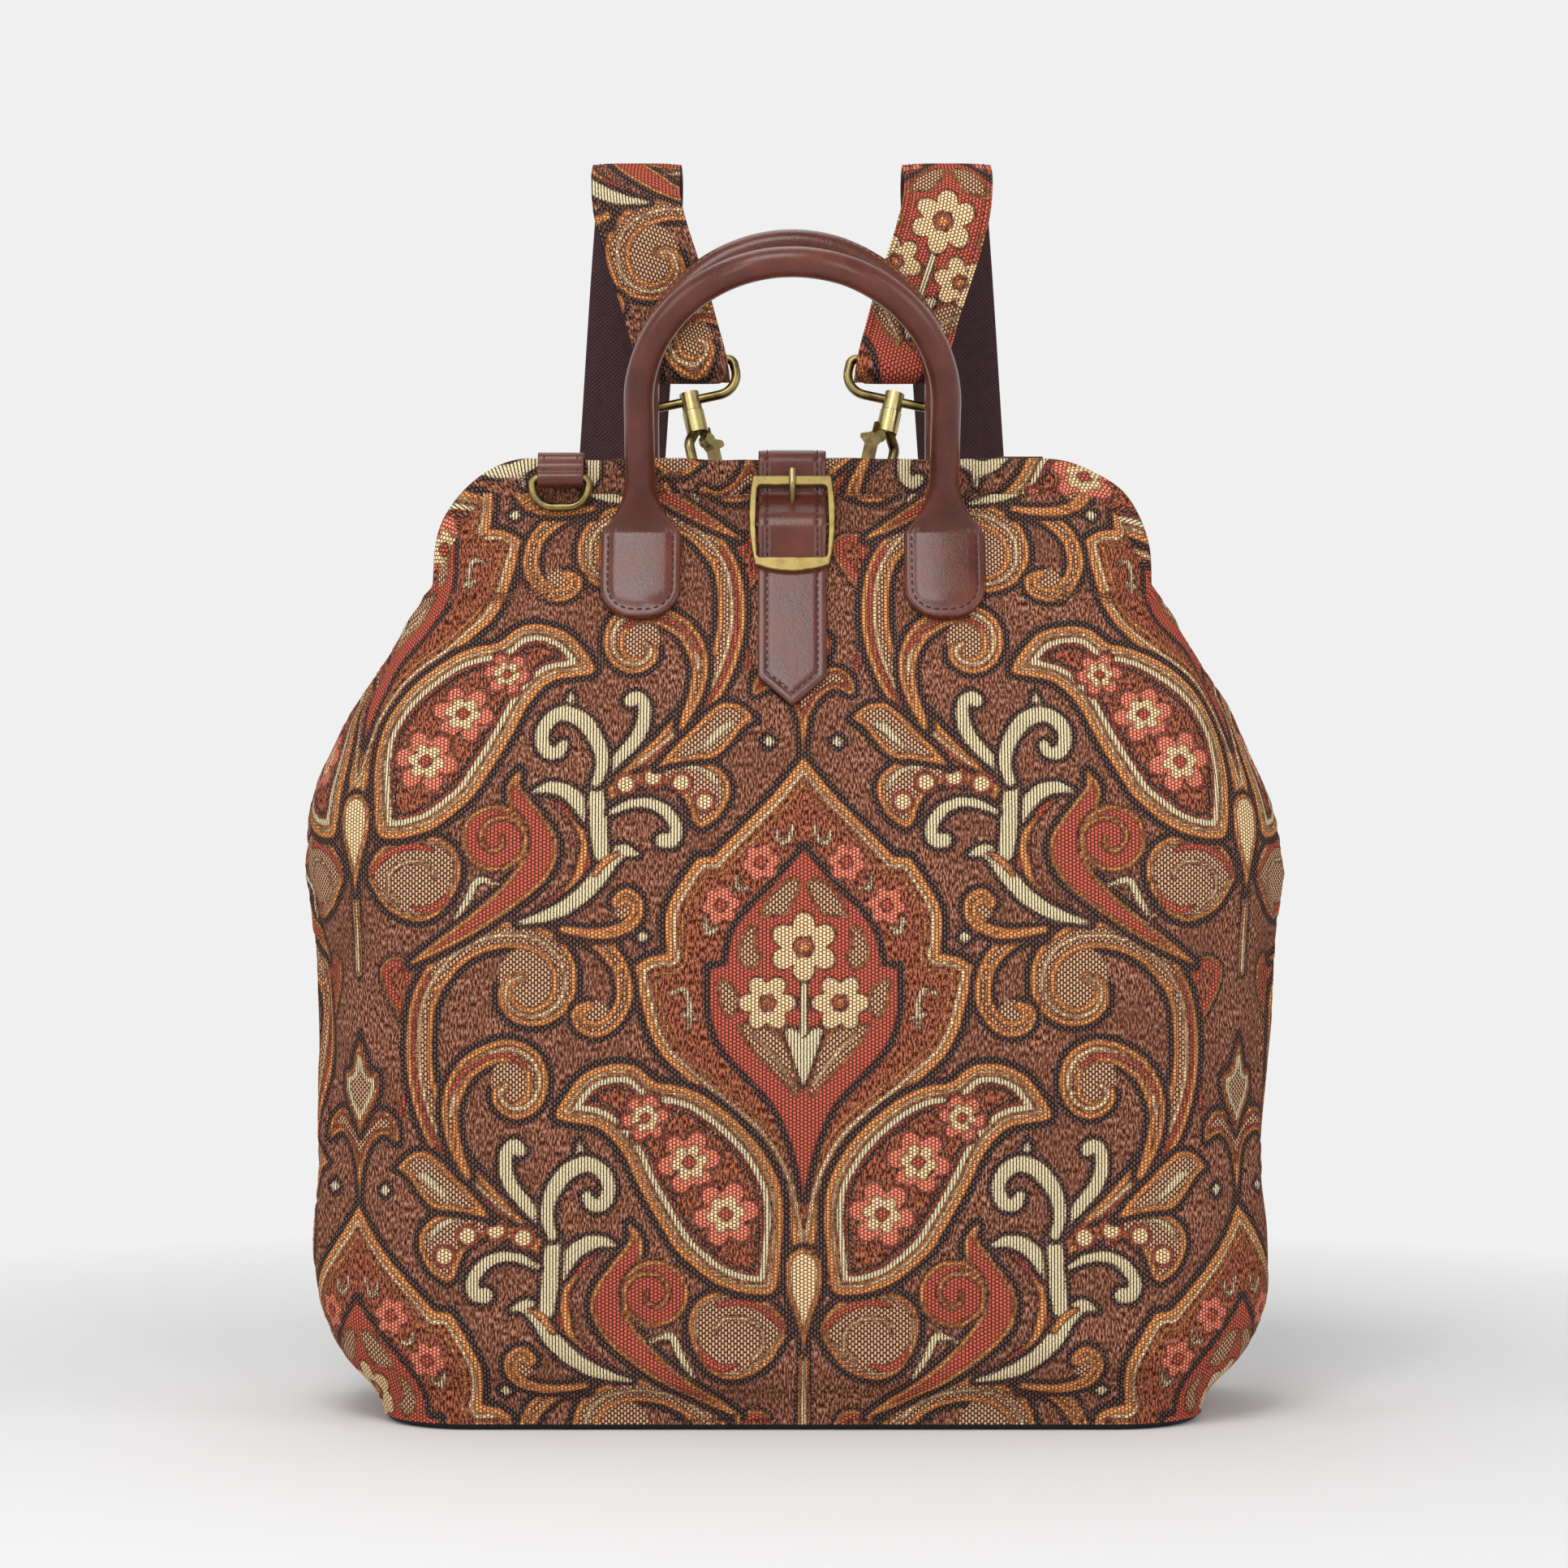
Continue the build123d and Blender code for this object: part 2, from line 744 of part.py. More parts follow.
with BuildPart() as hook_body:
    with BuildSketch(Plane.XY.offset(-fit_gap)):
        Circle(collar_radius)
    extrude(amount=fit_gap - collar_length)
    with BuildLine(Plane.XZ) as bow_path:
        FilletPolyline(
            (0, hook_wire_radius - collar_length),
            (hook_half_width, -hook_neck),
            (hook_half_width, -hook_length),
            (-hook_half_width, -hook_length),
            (-hook_half_width, -hook_tip),
            radius=[2 * hook_wire_radius, hook_bow_radius, hook_bow_radius],
        )
    with BuildSketch(Plane(origin=bow_path.wire() @ 0, z_dir=bow_path.wire() % 0)):
        Circle(hook_wire_radius)
    sweep(path=bow_path.wire())
    with BuildSketch(Plane.XZ):
        with Locations((-gate_pin_x, -gate_pin_drop)):
            Circle(gate_lug_radius)
            Rectangle(
                2 * gate_lug_radius,
                gate_pin_drop - collar_length + gate_lug_radius,
                align=(Align.CENTER, Align.MIN),
            )
    extrude(amount=gate_lug_half_thickness, both=True)
    with BuildSketch(Plane.XZ):
        with Locations((-gate_pin_x, -gate_pin_drop)):
            Circle(gate_pin_radius)
    extrude(amount=gate_lug_half_thickness + fit_gap + gate_cheek, both=True)
    with BuildSketch(Plane.XY):
        Circle(stem_radius + pin_gap)
    extrude(amount=-stem_length, mode=Mode.SUBTRACT)
    with BuildSketch(Plane.XY.offset(fit_gap - stem_length)):
        Circle(stem_head_radius + fit_gap)
    extrude(amount=-stem_head_thickness - 2 * fit_gap, mode=Mode.SUBTRACT)

gate_half = gate_lug_half_thickness + fit_gap + gate_cheek
# The gate's far corner swings clear of the hook's tip
gate_swing = hook_tip - gate_pin_drop - fit_gap
gate_corner_reach = hook_half_width + gate_bar_width / 2 - gate_pin_x
gate_end = gate_pin_drop + sqrt(gate_swing**2 - gate_corner_reach**2)
with BuildPart() as hook_gate:
    with BuildSketch(Plane.XZ):
        with Locations((-gate_pin_x, -gate_pin_drop)):
            Circle(gate_lug_radius)
        with BuildLine():
            Polyline(
                (-gate_pin_x + gate_lug_radius, -gate_pin_drop),
                (-hook_half_width + gate_bar_width / 2, -gate_bar_top),
                (-hook_half_width + gate_bar_width / 2, -gate_end),
                (-hook_half_width - gate_bar_width / 2, -gate_end),
                (-hook_half_width - gate_bar_width / 2, -gate_bar_top),
                (-gate_pin_x - gate_thumb_reach, -gate_pin_drop - gate_thumb_drop - gate_thumb_radius),
                (-gate_pin_x - gate_thumb_reach, -gate_pin_drop - gate_thumb_drop + gate_thumb_radius),
                (-gate_pin_x - gate_lug_radius, -gate_pin_drop),
                (-gate_pin_x + gate_lug_radius, -gate_pin_drop),
            )
        make_face()
        with Locations((-gate_pin_x - gate_thumb_reach, -gate_pin_drop - gate_thumb_drop)):
            Circle(gate_thumb_radius)
    extrude(amount=gate_half, both=True)
    with BuildSketch(Plane.XZ):
        with Locations((-gate_pin_x, -gate_pin_drop)):
            Circle(gate_lug_radius + fit_gap)
            Rectangle(
                2 * (gate_lug_radius + fit_gap),
                gate_pin_drop,
                align=(Align.CENTER, Align.MIN),
            )
    extrude(amount=gate_lug_half_thickness + fit_gap, both=True, mode=Mode.SUBTRACT)
    with BuildSketch(Plane.XZ):
        with Locations((-gate_pin_x, -gate_pin_drop)):
            Circle(gate_pin_radius + pin_gap)
    extrude(amount=gate_half, both=True, mode=Mode.SUBTRACT)

# Where the rings, hooks and straps go on each side

ring_drop = hook_length - hook_wire_radius - ring_wire_radius - ring_slack
low_wall_depth = belly_half_depth + low_tab_gap


def hook_site(ring, hand, tilt, sway):
    top = (ring * Location((0, 0, ring_reach))).position
    turn = Location((0, 0, 0), (-tilt, hand * sway, 0))
    return Location(top) * turn * Location((0, 0, ring_drop))


def eye_bar(site):
    return (site * Location((0, 0, eye_top))).position


def site_axis(site):
    return eye_bar(site) - site.position


def strap_line(hand, top_site, low_site):
    start_axis = site_axis(top_site).normalized()
    end_axis = site_axis(low_site).normalized()
    start = eye_bar(top_site) + start_axis * (webbing_hole_radius + pin_gap)
    finish = eye_bar(low_site) + end_axis * (webbing_hole_radius + pin_gap)
    shoulder_height = strap_top - crown_shoulder_drop
    rise = Vector(hand * crown_x, crown_depth - crown_half_depth, shoulder_height)
    fall = Vector(hand * crown_x, crown_depth + crown_half_depth, shoulder_height)
    belly = Vector(hand * belly_x, belly_depth, belly_height)
    drop = (belly - fall).normalized()
    with BuildLine() as path:
        Spline(
            start,
            (start + rise) / 2,
            rise,
            (hand * crown_x, crown_depth, strap_top - face_thickness),
            fall,
            tangents=(start_axis, drop),
        )
        Spline(fall, belly, finish, tangents=(drop, -end_axis))
    return path.wire()


def strap_section(line, share):
    along = line % share
    across = (Vector(1, 0, 0) - along * along.X).normalized()
    return Plane(origin=line @ share, x_dir=across, z_dir=along)


def strap_layer(line, shares, width, inner, outer):
    with BuildPart() as layer:
        for share in shares:
            with BuildSketch(strap_section(line, share)):
                with Locations((0, -(inner + outer) / 2)):
                    Rectangle(width, outer - inner)
        loft(ruled=True)
    return layer.part


def end_loop(site):
    seat = site * Location((0, 0, eye_top))
    with BuildPart() as loop:
        with BuildSketch(Plane(seat.position, x_dir=Plane(site).z_dir, z_dir=Plane(site).x_dir)):
            Circle(webbing_loop_radius)
            Circle(webbing_hole_radius, mode=Mode.SUBTRACT)
        extrude(amount=webbing_width / 2, both=True)
    return loop.part


def strap_slider(line):
    seat = strap_section(line, slider_share)
    inner_half = webbing_width / 2 + slider_gap
    bar_lift = webbing_thickness / 2 + slider_gap + slider_bar_radius
    middle = Plane(seat.origin + seat.y_dir * (webbing_thickness / 2), x_dir=seat.x_dir, z_dir=seat.z_dir)
    rail = Plane(middle.origin, x_dir=middle.z_dir, z_dir=middle.x_dir)
    with BuildPart() as slider:
        for end in (-1, 1):
            with BuildSketch(rail.offset(end * inner_half)):
                RectangleRounded(slider_length, 2 * (bar_lift + slider_bar_radius), slider_bar_radius)
            extrude(amount=end * slider_side)
        with BuildSketch(rail.offset(-inner_half - slider_side / 2)):
            bar_half = slider_length / 2 - slider_bar_radius
            with Locations((-bar_half, -bar_lift), (bar_half, -bar_lift), (0, bar_lift)):
                Circle(slider_bar_radius)
        extrude(amount=2 * inner_half + slider_side)
    return slider.part


for hand, side_name in ((-1, "left"), (1, "right")):
    top_seat = slope_plane(1, top_tab_height, fit_gap, hand * top_ring_x)
    top_bar = top_seat.origin + top_seat.z_dir * tab_loop_radius
    low_seat = Plane(
        origin=(hand * low_ring_x, low_wall_depth, low_tab_height),
        x_dir=(-1, 0, 0),
        z_dir=(0, 1, 0),
    )
    low_bar = low_seat.origin + low_seat.z_dir * tab_loop_radius
    top_ring = Location(top_bar, (-top_ring_lean, 0, 0))
    low_ring = Location(low_bar, (-low_ring_lean, 0, 0))
    top_hook = hook_site(top_ring, hand, top_hook_tilt, top_hook_sway)
    low_hook = hook_site(low_ring, hand, low_hook_tilt, low_hook_sway)
    half_turn = 0 if hand > 0 else 180
    save(wall_tab(top_seat), side_name + "_top_tab")
    save(wall_tab(low_seat), side_name + "_low_tab")
    save(d_ring.part.moved(top_ring), side_name + "_top_ring")
    save(d_ring.part.moved(low_ring), side_name + "_low_ring")
    for level, site, spin in (("top", top_hook, top_hook_spin), ("low", low_hook, low_hook_spin)):
        turned = site * Location((0, 0, 0), (0, 0, half_turn + spin))
        save(hook_eye.part.moved(site), side_name + "_" + level + "_hook_eye")
        save(hook_body.part.moved(turned), side_name + "_" + level + "_hook_body")
        save(hook_gate.part.moved(turned), side_name + "_" + level + "_hook_gate")
    line = strap_line(hand, top_hook, low_hook)
    with BuildPart() as webbing:
        add(strap_layer(line, strap_station_shares, webbing_width, -webbing_thickness, 0))
        add(end_loop(top_hook))
        add(end_loop(low_hook))
    save(webbing.part, side_name + "_strap_webbing")
    face_shares = strap_station_shares[1:face_stations]
    face_outer = face_gap + face_thickness
    save(strap_layer(line, face_shares, face_width, face_gap, face_outer), side_name + "_strap_face")
    save(strap_slider(line), side_name + "_slider")
    save(frame_rivet(hand), side_name + "_frame_rivet")

front_ring_bar = (-carry_ring_x, -carry_bar_depth, carry_bar_height)
rear_ring_bar = (carry_ring_x, carry_bar_depth, carry_bar_height)
front_ring_site = Location(front_ring_bar, (180 - carry_ring_lean, 0, 0))
rear_ring_site = Location(rear_ring_bar, (180 + carry_ring_lean, 0, 0))
save(d_ring.part.moved(front_ring_site), "front_d_ring")
save(d_ring.part.moved(rear_ring_site), "rear_d_ring")
save(carry_tab(-1), "front_ring_tab")
save(carry_tab(1), "rear_ring_tab")
save(base_panel.part, "base_panel")
save(base_board.part, "base_board")
save(front_panel.part, "front_panel")
save(back_panel.part, "back_panel")
save(lining.part, "lining")
save(laptop_sleeve.part, "laptop_sleeve")
save(front_casing, "front_casing")
save(back_casing, "back_casing")
save(front_frame, "front_frame")
save(back_frame, "back_frame")
save(front_handle, "front_handle")
save(back_handle, "back_handle")
save(closure_strap.part, "closure_strap")
save(snap_stud.part, "snap_stud")
save(snap_socket.part, "snap_socket")
save(buckle_frame.part, "buckle_frame")
save(tongue_sweep(tongue_radius), "buckle_tongue")
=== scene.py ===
import math
import bpy
import numpy as np
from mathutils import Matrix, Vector


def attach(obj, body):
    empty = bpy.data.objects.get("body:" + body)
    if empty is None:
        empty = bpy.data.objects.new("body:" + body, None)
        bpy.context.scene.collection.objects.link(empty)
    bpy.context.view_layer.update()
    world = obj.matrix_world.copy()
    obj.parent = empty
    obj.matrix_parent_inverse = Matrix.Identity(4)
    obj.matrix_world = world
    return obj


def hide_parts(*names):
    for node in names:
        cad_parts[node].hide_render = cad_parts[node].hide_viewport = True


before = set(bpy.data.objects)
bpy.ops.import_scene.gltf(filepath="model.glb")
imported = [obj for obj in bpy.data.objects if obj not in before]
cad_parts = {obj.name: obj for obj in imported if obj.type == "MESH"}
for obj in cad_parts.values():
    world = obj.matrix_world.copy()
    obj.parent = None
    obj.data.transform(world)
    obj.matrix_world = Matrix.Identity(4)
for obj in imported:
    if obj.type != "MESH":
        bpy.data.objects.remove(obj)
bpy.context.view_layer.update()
scene = bpy.context.scene
mm = 0.001
print("frame loaded:", len(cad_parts), "nodes")


# small tools for meshes, in millimetres

def gridMesh(name, grid, closedU=False, closedV=False, caps=False):
    rows, cols = grid.shape[:2]
    index = np.arange(rows * cols).reshape(rows, cols)
    ends = [index[0][::-1].tolist(), index[-1].tolist()] if caps else []
    if closedV:
        index = np.vstack([index, index[:1]])
    if closedU:
        index = np.hstack([index, index[:, :1]])
    quads = np.stack([index[:-1, :-1], index[:-1, 1:], index[1:, 1:], index[1:, :-1]], -1)
    mesh = bpy.data.meshes.new(name)
    mesh.from_pydata((grid.reshape(-1, 3) * mm).tolist(), [], quads.reshape(-1, 4).tolist() + ends)
    mesh.update()
    mesh.shade_smooth()
    return mesh


def meshPoints(mesh):
    flat = np.zeros(len(mesh.vertices) * 3)
    mesh.vertices.foreach_get("co", flat)
    return flat.reshape(-1, 3) / mm


def addPiece(name, mesh, material, nodes=()):
    piece = bpy.data.objects.new(name, mesh)
    scene.collection.objects.link(piece)
    mesh.materials.clear()
    mesh.materials.append(material)
    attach(piece, "bag")
    if nodes:
        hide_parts(*nodes)
    return piece


def joinMeshes(name, meshes):
    points, faces, start = [], [], 0
    for mesh in meshes:
        points += [tuple(v.co) for v in mesh.vertices]
        faces += [[start + i for i in p.vertices] for p in mesh.polygons]
        start += len(mesh.vertices)
        bpy.data.meshes.remove(mesh)
    joined = bpy.data.meshes.new(name)
    joined.from_pydata(points, [], faces)
    joined.update()
    joined.shade_smooth()
    return joined


def unit(v):
    v = np.asarray(v, float)
    return v / np.maximum(np.linalg.norm(v, axis=-1, keepdims=True), 1e-9)


def gridNormals(grid):
    return unit(np.cross(np.gradient(grid, axis=1), np.gradient(grid, axis=0)))


def ripple(p, size, seed, octaves=3):
    rng = np.random.default_rng(seed)
    total = np.zeros(p.shape[:-1])
    for k in range(octaves):
        for wave in range(4):
            way = unit(rng.normal(size=p.shape[-1]))
            total += np.sin(p @ way * (2 * math.pi * 1.7 ** k / size) + rng.uniform(0, 6.28)) / 1.7 ** k
    return total / 4


def bell(x, width):
    return np.exp(-(x / width) ** 2)


def ramp(x, low, high):
    t = np.clip((x - low) / (high - low), 0, 1)
    return t * t * (3 - 2 * t)


def smoothLine(points, closed=False, steps=5):
    pts = np.array(points, float)
    if closed:
        ring = np.vstack([pts[-1:], pts, pts[:2]])
    else:
        ring = np.vstack([2 * pts[:1] - pts[1:2], pts, 2 * pts[-1:] - pts[-2:-1]])
    t = (np.arange(steps) / steps)[:, None]
    out = []
    for a, b, c, d in zip(ring, ring[1:], ring[2:], ring[3:]):
        out.append(b + .5 * t * (c - a + t * (2 * a - 5 * b + 4 * c - d + t * (3 * (b - c) + d - a))))
    line = np.vstack(out)
    return line if closed else np.vstack([line, pts[-1:]])


def runAlong(line):
    return np.r_[0, np.cumsum(np.linalg.norm(np.diff(line, axis=0), axis=1))]


def evenLine(points, step):
    pts = np.array(points, float)
    run = runAlong(pts)
    at = np.linspace(0, run[-1], max(2, int(round(run[-1] / step)) + 1))
    return np.stack([np.interp(at, run, pts[:, i]) for i in range(pts.shape[1])], 1)


def roundedLine(points, radius, step):
    pts = [np.array(p, float) for p in points]
    out = [pts[0]]
    for a, b, c in zip(pts, pts[1:], pts[2:]):
        one, two = unit(a - b), unit(c - b)
        half = math.acos(float(np.clip(one @ two, -1, 1))) / 2
        if abs(half - math.pi / 2) < .01:
            continue
        cut = radius / math.tan(half)
        middle = b + unit(one + two) * radius / math.sin(half)
        start, stop = b + one * cut - middle, b + two * cut - middle
        turn = math.pi - 2 * half
        for t in np.linspace(0, 1, max(3, int(turn * radius / step) + 2)):
            arc = math.sin((1 - t) * turn) * start + math.sin(t * turn) * stop
            out.append(middle + arc / math.sin(turn))
    out.append(pts[-1])
    return evenLine(out, step)


def flatFrame(line, along):
    # width and outward side of a band whose width keeps one direction
    across = np.repeat([np.asarray(along, float)], len(line), 0)
    return across, np.cross(across, unit(np.gradient(line, axis=0)))


def twistedFrame(line):
    # direction, width and outward side of a band that may turn, its width kept near x
    way = unit(np.gradient(line, axis=0))
    across = unit(np.array([1.0, 0, 0]) - way * way[:, :1])
    return way, across, np.cross(across, way)


def bandMesh(name, centres, across, normals, halfWidths, low, high, crown=None, closed=False, count=25):
    # flat band: a row of points over the top, round the edges and back underneath
    under = max(5, count // 3)
    side = np.r_[np.linspace(-1, 1, count), np.linspace(1, -1, under)]
    thick, mid = high - low, (low + high) / 2
    bulges = ((1, .45), (1, -.45), (-1, -.45), (-1, .45))
    rings = []
    for i, (centre, wide, out, w) in enumerate(zip(centres, across, normals, halfWidths)):
        a = side * (w - min(thick / 2, w * .9) * .55)
        b = np.r_[np.full(count, float(high)), np.full(under, float(low))]
        if crown is not None:
            b[:count] += crown(i, a[:count])
        ring = centre + wide * a[:, None] + out * b[:, None]
        edges = [centre + wide * (s * w) + out * (mid + lift * thick) for s, lift in bulges]
        rings.append(np.vstack([ring[:count], edges[:2], ring[count:], edges[2:]]))
    return gridMesh(name, np.array(rings)[:, ::-1], closedU=True, closedV=closed, caps=not closed)


# colours and node tools

def tone(*levels):
    light = [c / 255 for c in levels]
    return tuple(c / 12.92 if c <= .04045 else ((c + .055) / 1.055) ** 2.4 for c in light) + (1.0,)


def addNode(tree, kind, inputs=None, **settings):
    made = tree.nodes.new(kind)
    for key, value in settings.items():
        setattr(made, key, value)
    for key, value in (inputs or {}).items():
        if isinstance(value, bpy.types.NodeSocket):
            tree.links.new(value, made.inputs[key])
        else:
            made.inputs[key].default_value = value
    return made


def sums(tree, operation, *values):
    return addNode(tree, "ShaderNodeMath", dict(enumerate(values)), operation=operation).outputs[0]


def waves(tree, value, turns=math.pi):
    return sums(tree, "ABSOLUTE", sums(tree, "SINE", sums(tree, "MULTIPLY", value, turns)))


def clouds(tree, spot, scale, detail, distortion=0.0):
    return addNode(tree, "ShaderNodeTexNoise", {
        "Vector": spot, "Scale": scale, "Detail": detail, "Distortion": distortion}).outputs[0]


def blendTones(tree, share, first, second):
    return addNode(tree, "ShaderNodeMix", {0: share, 6: first, 7: second}, data_type="RGBA").outputs[2]


def tonesAlong(tree, value, *stops):
    shades = addNode(tree, "ShaderNodeValToRGB", {0: value})
    steps = shades.color_ramp.elements
    for step, (at, colour) in zip(steps, (stops[0], stops[-1])):
        step.position, step.color = at, colour
    for at, colour in stops[1:-1]:
        steps.new(at).color = colour
    return shades.outputs[0]


def fit(tree, value, low, high, toLow=0.0, toHigh=1.0):
    return addNode(tree, "ShaderNodeMapRange", {0: value, 1: low, 2: high, 3: toLow, 4: toHigh}).outputs[0]


def finish(name, **sockets):
    material = bpy.data.materials.new(name)
    material.use_nodes = True
    shader = material.node_tree.nodes["Principled BSDF"]
    for key, value in sockets.items():
        shader.inputs[key.replace("_", " ")].default_value = value
    return material, material.node_tree, shader


def place(tree, scale=(1, 1, 1)):
    spot = addNode(tree, "ShaderNodeTexCoord").outputs["Object"]
    return addNode(tree, "ShaderNodeMapping", {"Vector": spot, "Scale": scale}).outputs[0]


def clothMark(tree, key, output):
    return addNode(tree, "ShaderNodeAttribute", attribute_name=key).outputs[output]


def dress(tree, shader, colour, height, depth, strength=1.0):
    tree.links.new(colour, shader.inputs["Base Color"])
    bump = addNode(tree, "ShaderNodeBump", {"Height": height, "Distance": depth, "Strength": strength})
    tree.links.new(bump.outputs[0], shader.inputs["Normal"])


# finishes

def tapestryFinish(name):
    cloth, tree, shader = finish(name, Roughness=.9, Specular_IOR_Level=.06)
    # yarn sizes in millimetres; columns are counted from far off, so that none is negative
    yarn = {"across": 1.5, "along": 1.5, "warp": 1.27, "weft": 2.1, "edge": .16, "far": 4000.0,
            "round": .7, "beadShift": .8, "speckShift": 1.8, "uneven": .9, "relief": .0007}
    spot = clothMark(tree, "clothPlace", "Vector")
    flat = addNode(tree, "ShaderNodeSeparateXYZ", {0: spot})
    u, v = flat.outputs[0], flat.outputs[1]

    def everyOther(column):
        return sums(tree, "MODULO", sums(tree, "FLOOR", sums(tree, "ADD", column, yarn["far"])), 2.0)

    def staggered(column, pitch):
        return sums(tree, "MULTIPLY_ADD", everyOther(column), .5, sums(tree, "DIVIDE", v, pitch))
    column = sums(tree, "DIVIDE", u, yarn["across"])
    row = staggered(column, yarn["along"])
    bead = sums(tree, "POWER", sums(tree, "MULTIPLY", waves(tree, column), waves(tree, row)), yarn["round"])
    warp = sums(tree, "DIVIDE", u, yarn["warp"])
    stripe, dash = waves(tree, warp), waves(tree, staggered(warp, yarn["weft"]))
    check = sums(tree, "MULTIPLY", stripe, dash)
    corded = sums(tree, "MULTIPLY", stripe, sums(tree, "MULTIPLY_ADD", dash, .3, .7))
    stretch = addNode(tree, "ShaderNodeMapping", {"Vector": spot, "Scale": (1.5, .45, 1)}).outputs[0]
    fuzz = clouds(tree, stretch, 1.0, 3.0)
    speck = sums(tree, "SUBTRACT", clouds(tree, spot, 1.6, 1.0), .5)
    shift = sums(tree, "MULTIPLY_ADD", sums(tree, "SUBTRACT", bead, .5), yarn["beadShift"],
                 sums(tree, "MULTIPLY", speck, yarn["speckShift"]))
    uneven = sums(tree, "MULTIPLY", speck, yarn["uneven"])
    # the chenille ground: partly random streaks of tone, partly painted shade in the low pile and painted highlight on
    # the raised pile
    pile = tonesAlong(tree, fuzz, (.39, tone(46, 23, 17)), (.5, tone(112, 67, 50)), (.63, tone(186, 134, 110)))
    slow = fit(tree, clouds(tree, spot, .035, 2.0), .35, .65, .0, .4)
    colour = blendTones(tree, slow, pile, tone(88, 52, 40))
    warm = fit(tree, fuzz, .38, .64)
    # each yarn's deep and lit tones follow its relief texture: on the beads this is painted shade in the hollows and
    # painted highlight on the crowns; on the ribs and checks it is partly the dark warp's own colour and partly painted
    # shade; on the rust it is partly random tone and partly painted pile shade
    looks = {
        "rust": (tone(66, 28, 20), tone(180, 106, 78), warm, .06),
        "dark": (tone(33, 22, 20), tone(98, 79, 74), check, -.06),
        "taupe": (tone(62, 40, 31), tone(224, 176, 138), check, .03),
        "sage": (tone(56, 46, 38), tone(232, 214, 172), corded, .45),
        "red": (tone(80, 30, 25), tone(204, 102, 82), bead, .48),
        "gold": (tone(104, 54, 30), tone(240, 166, 102), bead, .54),
        "coral": (tone(112, 40, 34), tone(242, 146, 116), bead, .48),
        "cream": (tone(112, 66, 42), tone(255, 226, 174), bead, .54)}
    lift = sums(tree, "MULTIPLY", fuzz, .55)
    for key, (deep, lit, texture, stand) in looks.items():
        gap = sums(tree, "ADD", clothMark(tree, key, "Fac"), shift)
        mask = fit(tree, gap, yarn["edge"], -yarn["edge"])
        # yarn colour with painted shade and painted highlight over its relief
        yarnWithPaintedShade = blendTones(tree, fit(tree, sums(tree, "ADD", texture, uneven), .24, .74), deep, lit)
        colour = blendTones(tree, mask, colour, yarnWithPaintedShade)
        level = sums(tree, "MULTIPLY_ADD", texture, .5, stand)
        lift = addNode(tree, "ShaderNodeMix", {0: mask, 2: lift, 3: level}, data_type="FLOAT").outputs[0]
    dress(tree, shader, colour, lift, yarn["relief"])
    return cloth


def leatherFinish():
    hide, tree, shader = finish("polishedLeather", Coat_Weight=.34, Coat_Roughness=.2, Specular_IOR_Level=.25)
    spot = place(tree)
    cloud = clouds(tree, spot, 55.0, 4.0)
    grain = addNode(tree, "ShaderNodeTexVoronoi", {"Vector": spot, "Scale": 1500.0}, feature="SMOOTH_F1").outputs[0]
    crease = clouds(tree, place(tree, (300, 300, 120)), 1.0, 5.0, .8)
    shades = tonesAlong(tree, cloud, (.3, tone(76, 34, 25)), (.72, tone(102, 49, 36)))
    creased = blendTones(tree, fit(tree, crease, .56, .75, 0, .3), shades, tone(60, 27, 20))
    tree.links.new(fit(tree, cloud, .3, .75, .26, .42), shader.inputs["Roughness"])
    height = sums(tree, "ADD", sums(tree, "MULTIPLY", grain, .5), sums(tree, "MULTIPLY", crease, .8))
    dress(tree, shader, creased, height, .00022)
    return hide


def brassFinish():
    metal, tree, shader = finish("agedBrass", Metallic=1.0)
    cloud = clouds(tree, place(tree), 190.0, 5.0)
    edge = addNode(tree, "ShaderNodeNewGeometry").outputs["Pointiness"]
    shades = tonesAlong(tree, cloud, (.32, tone(72, 57, 31)), (.66, tone(142, 122, 73)))
    worn = blendTones(tree, fit(tree, edge, .5, .56), shades, tone(192, 175, 120))
    tree.links.new(fit(tree, cloud, .3, .7, .24, .46), shader.inputs["Roughness"])
    dress(tree, shader, worn, cloud, .00012, .6)
    return metal


def ribbedFinish(name, deep, lit, pitch):
    band, tree, shader = finish(name, Roughness=.75, Specular_IOR_Level=.3)
    flat = addNode(tree, "ShaderNodeSeparateXYZ", {0: clothMark(tree, "clothPlace", "Vector")})
    ways = [waves(tree, sums(tree, kind, flat.outputs[0], flat.outputs[1]), math.pi / pitch)
            for kind in ("ADD", "SUBTRACT")]
    twill = sums(tree, "MAXIMUM", ways[0], sums(tree, "MULTIPLY", ways[1], .8))
    # painted highlight on the twill ridges and painted shade in the furrows between them
    yarnWithPaintedShade = blendTones(tree, fit(tree, twill, .2, .95), deep, lit)
    worn = fit(tree, clouds(tree, place(tree), 260.0, 3.0), .45, .75, 0, .35)
    dress(tree, shader, blendTones(tree, worn, yarnWithPaintedShade, deep), twill, .0004, .8)
    return band


def wovenFinish(name, deep, lit, scale, roughness=.85):
    cloth, tree, shader = finish(name, Roughness=roughness, Specular_IOR_Level=.3)
    spot = place(tree)
    flat = addNode(tree, "ShaderNodeSeparateXYZ", {0: spot})
    lines = [waves(tree, flat.outputs[i], scale) for i in range(3)]
    weave = sums(tree, "MULTIPLY", sums(tree, "MULTIPLY", lines[0], lines[1]), lines[2])
    cloud = sums(tree, "MULTIPLY", clouds(tree, spot, 120.0, 4.0), .4)
    # painted highlight where the weave crosses and painted shade between, with a random cloud of tone over it
    share = sums(tree, "MULTIPLY_ADD", weave, .6, cloud)
    dress(tree, shader, blendTones(tree, share, deep, lit), weave, .0003, .7)
    return cloth


def plainFinish(name, deep, lit, scale, **sockets):
    stuff, tree, shader = finish(name, **sockets)
    cloud = clouds(tree, place(tree), scale, 4.0)
    dress(tree, shader, blendTones(tree, fit(tree, cloud, .3, .7), deep, lit), cloud, .0001, .5)
    return stuff


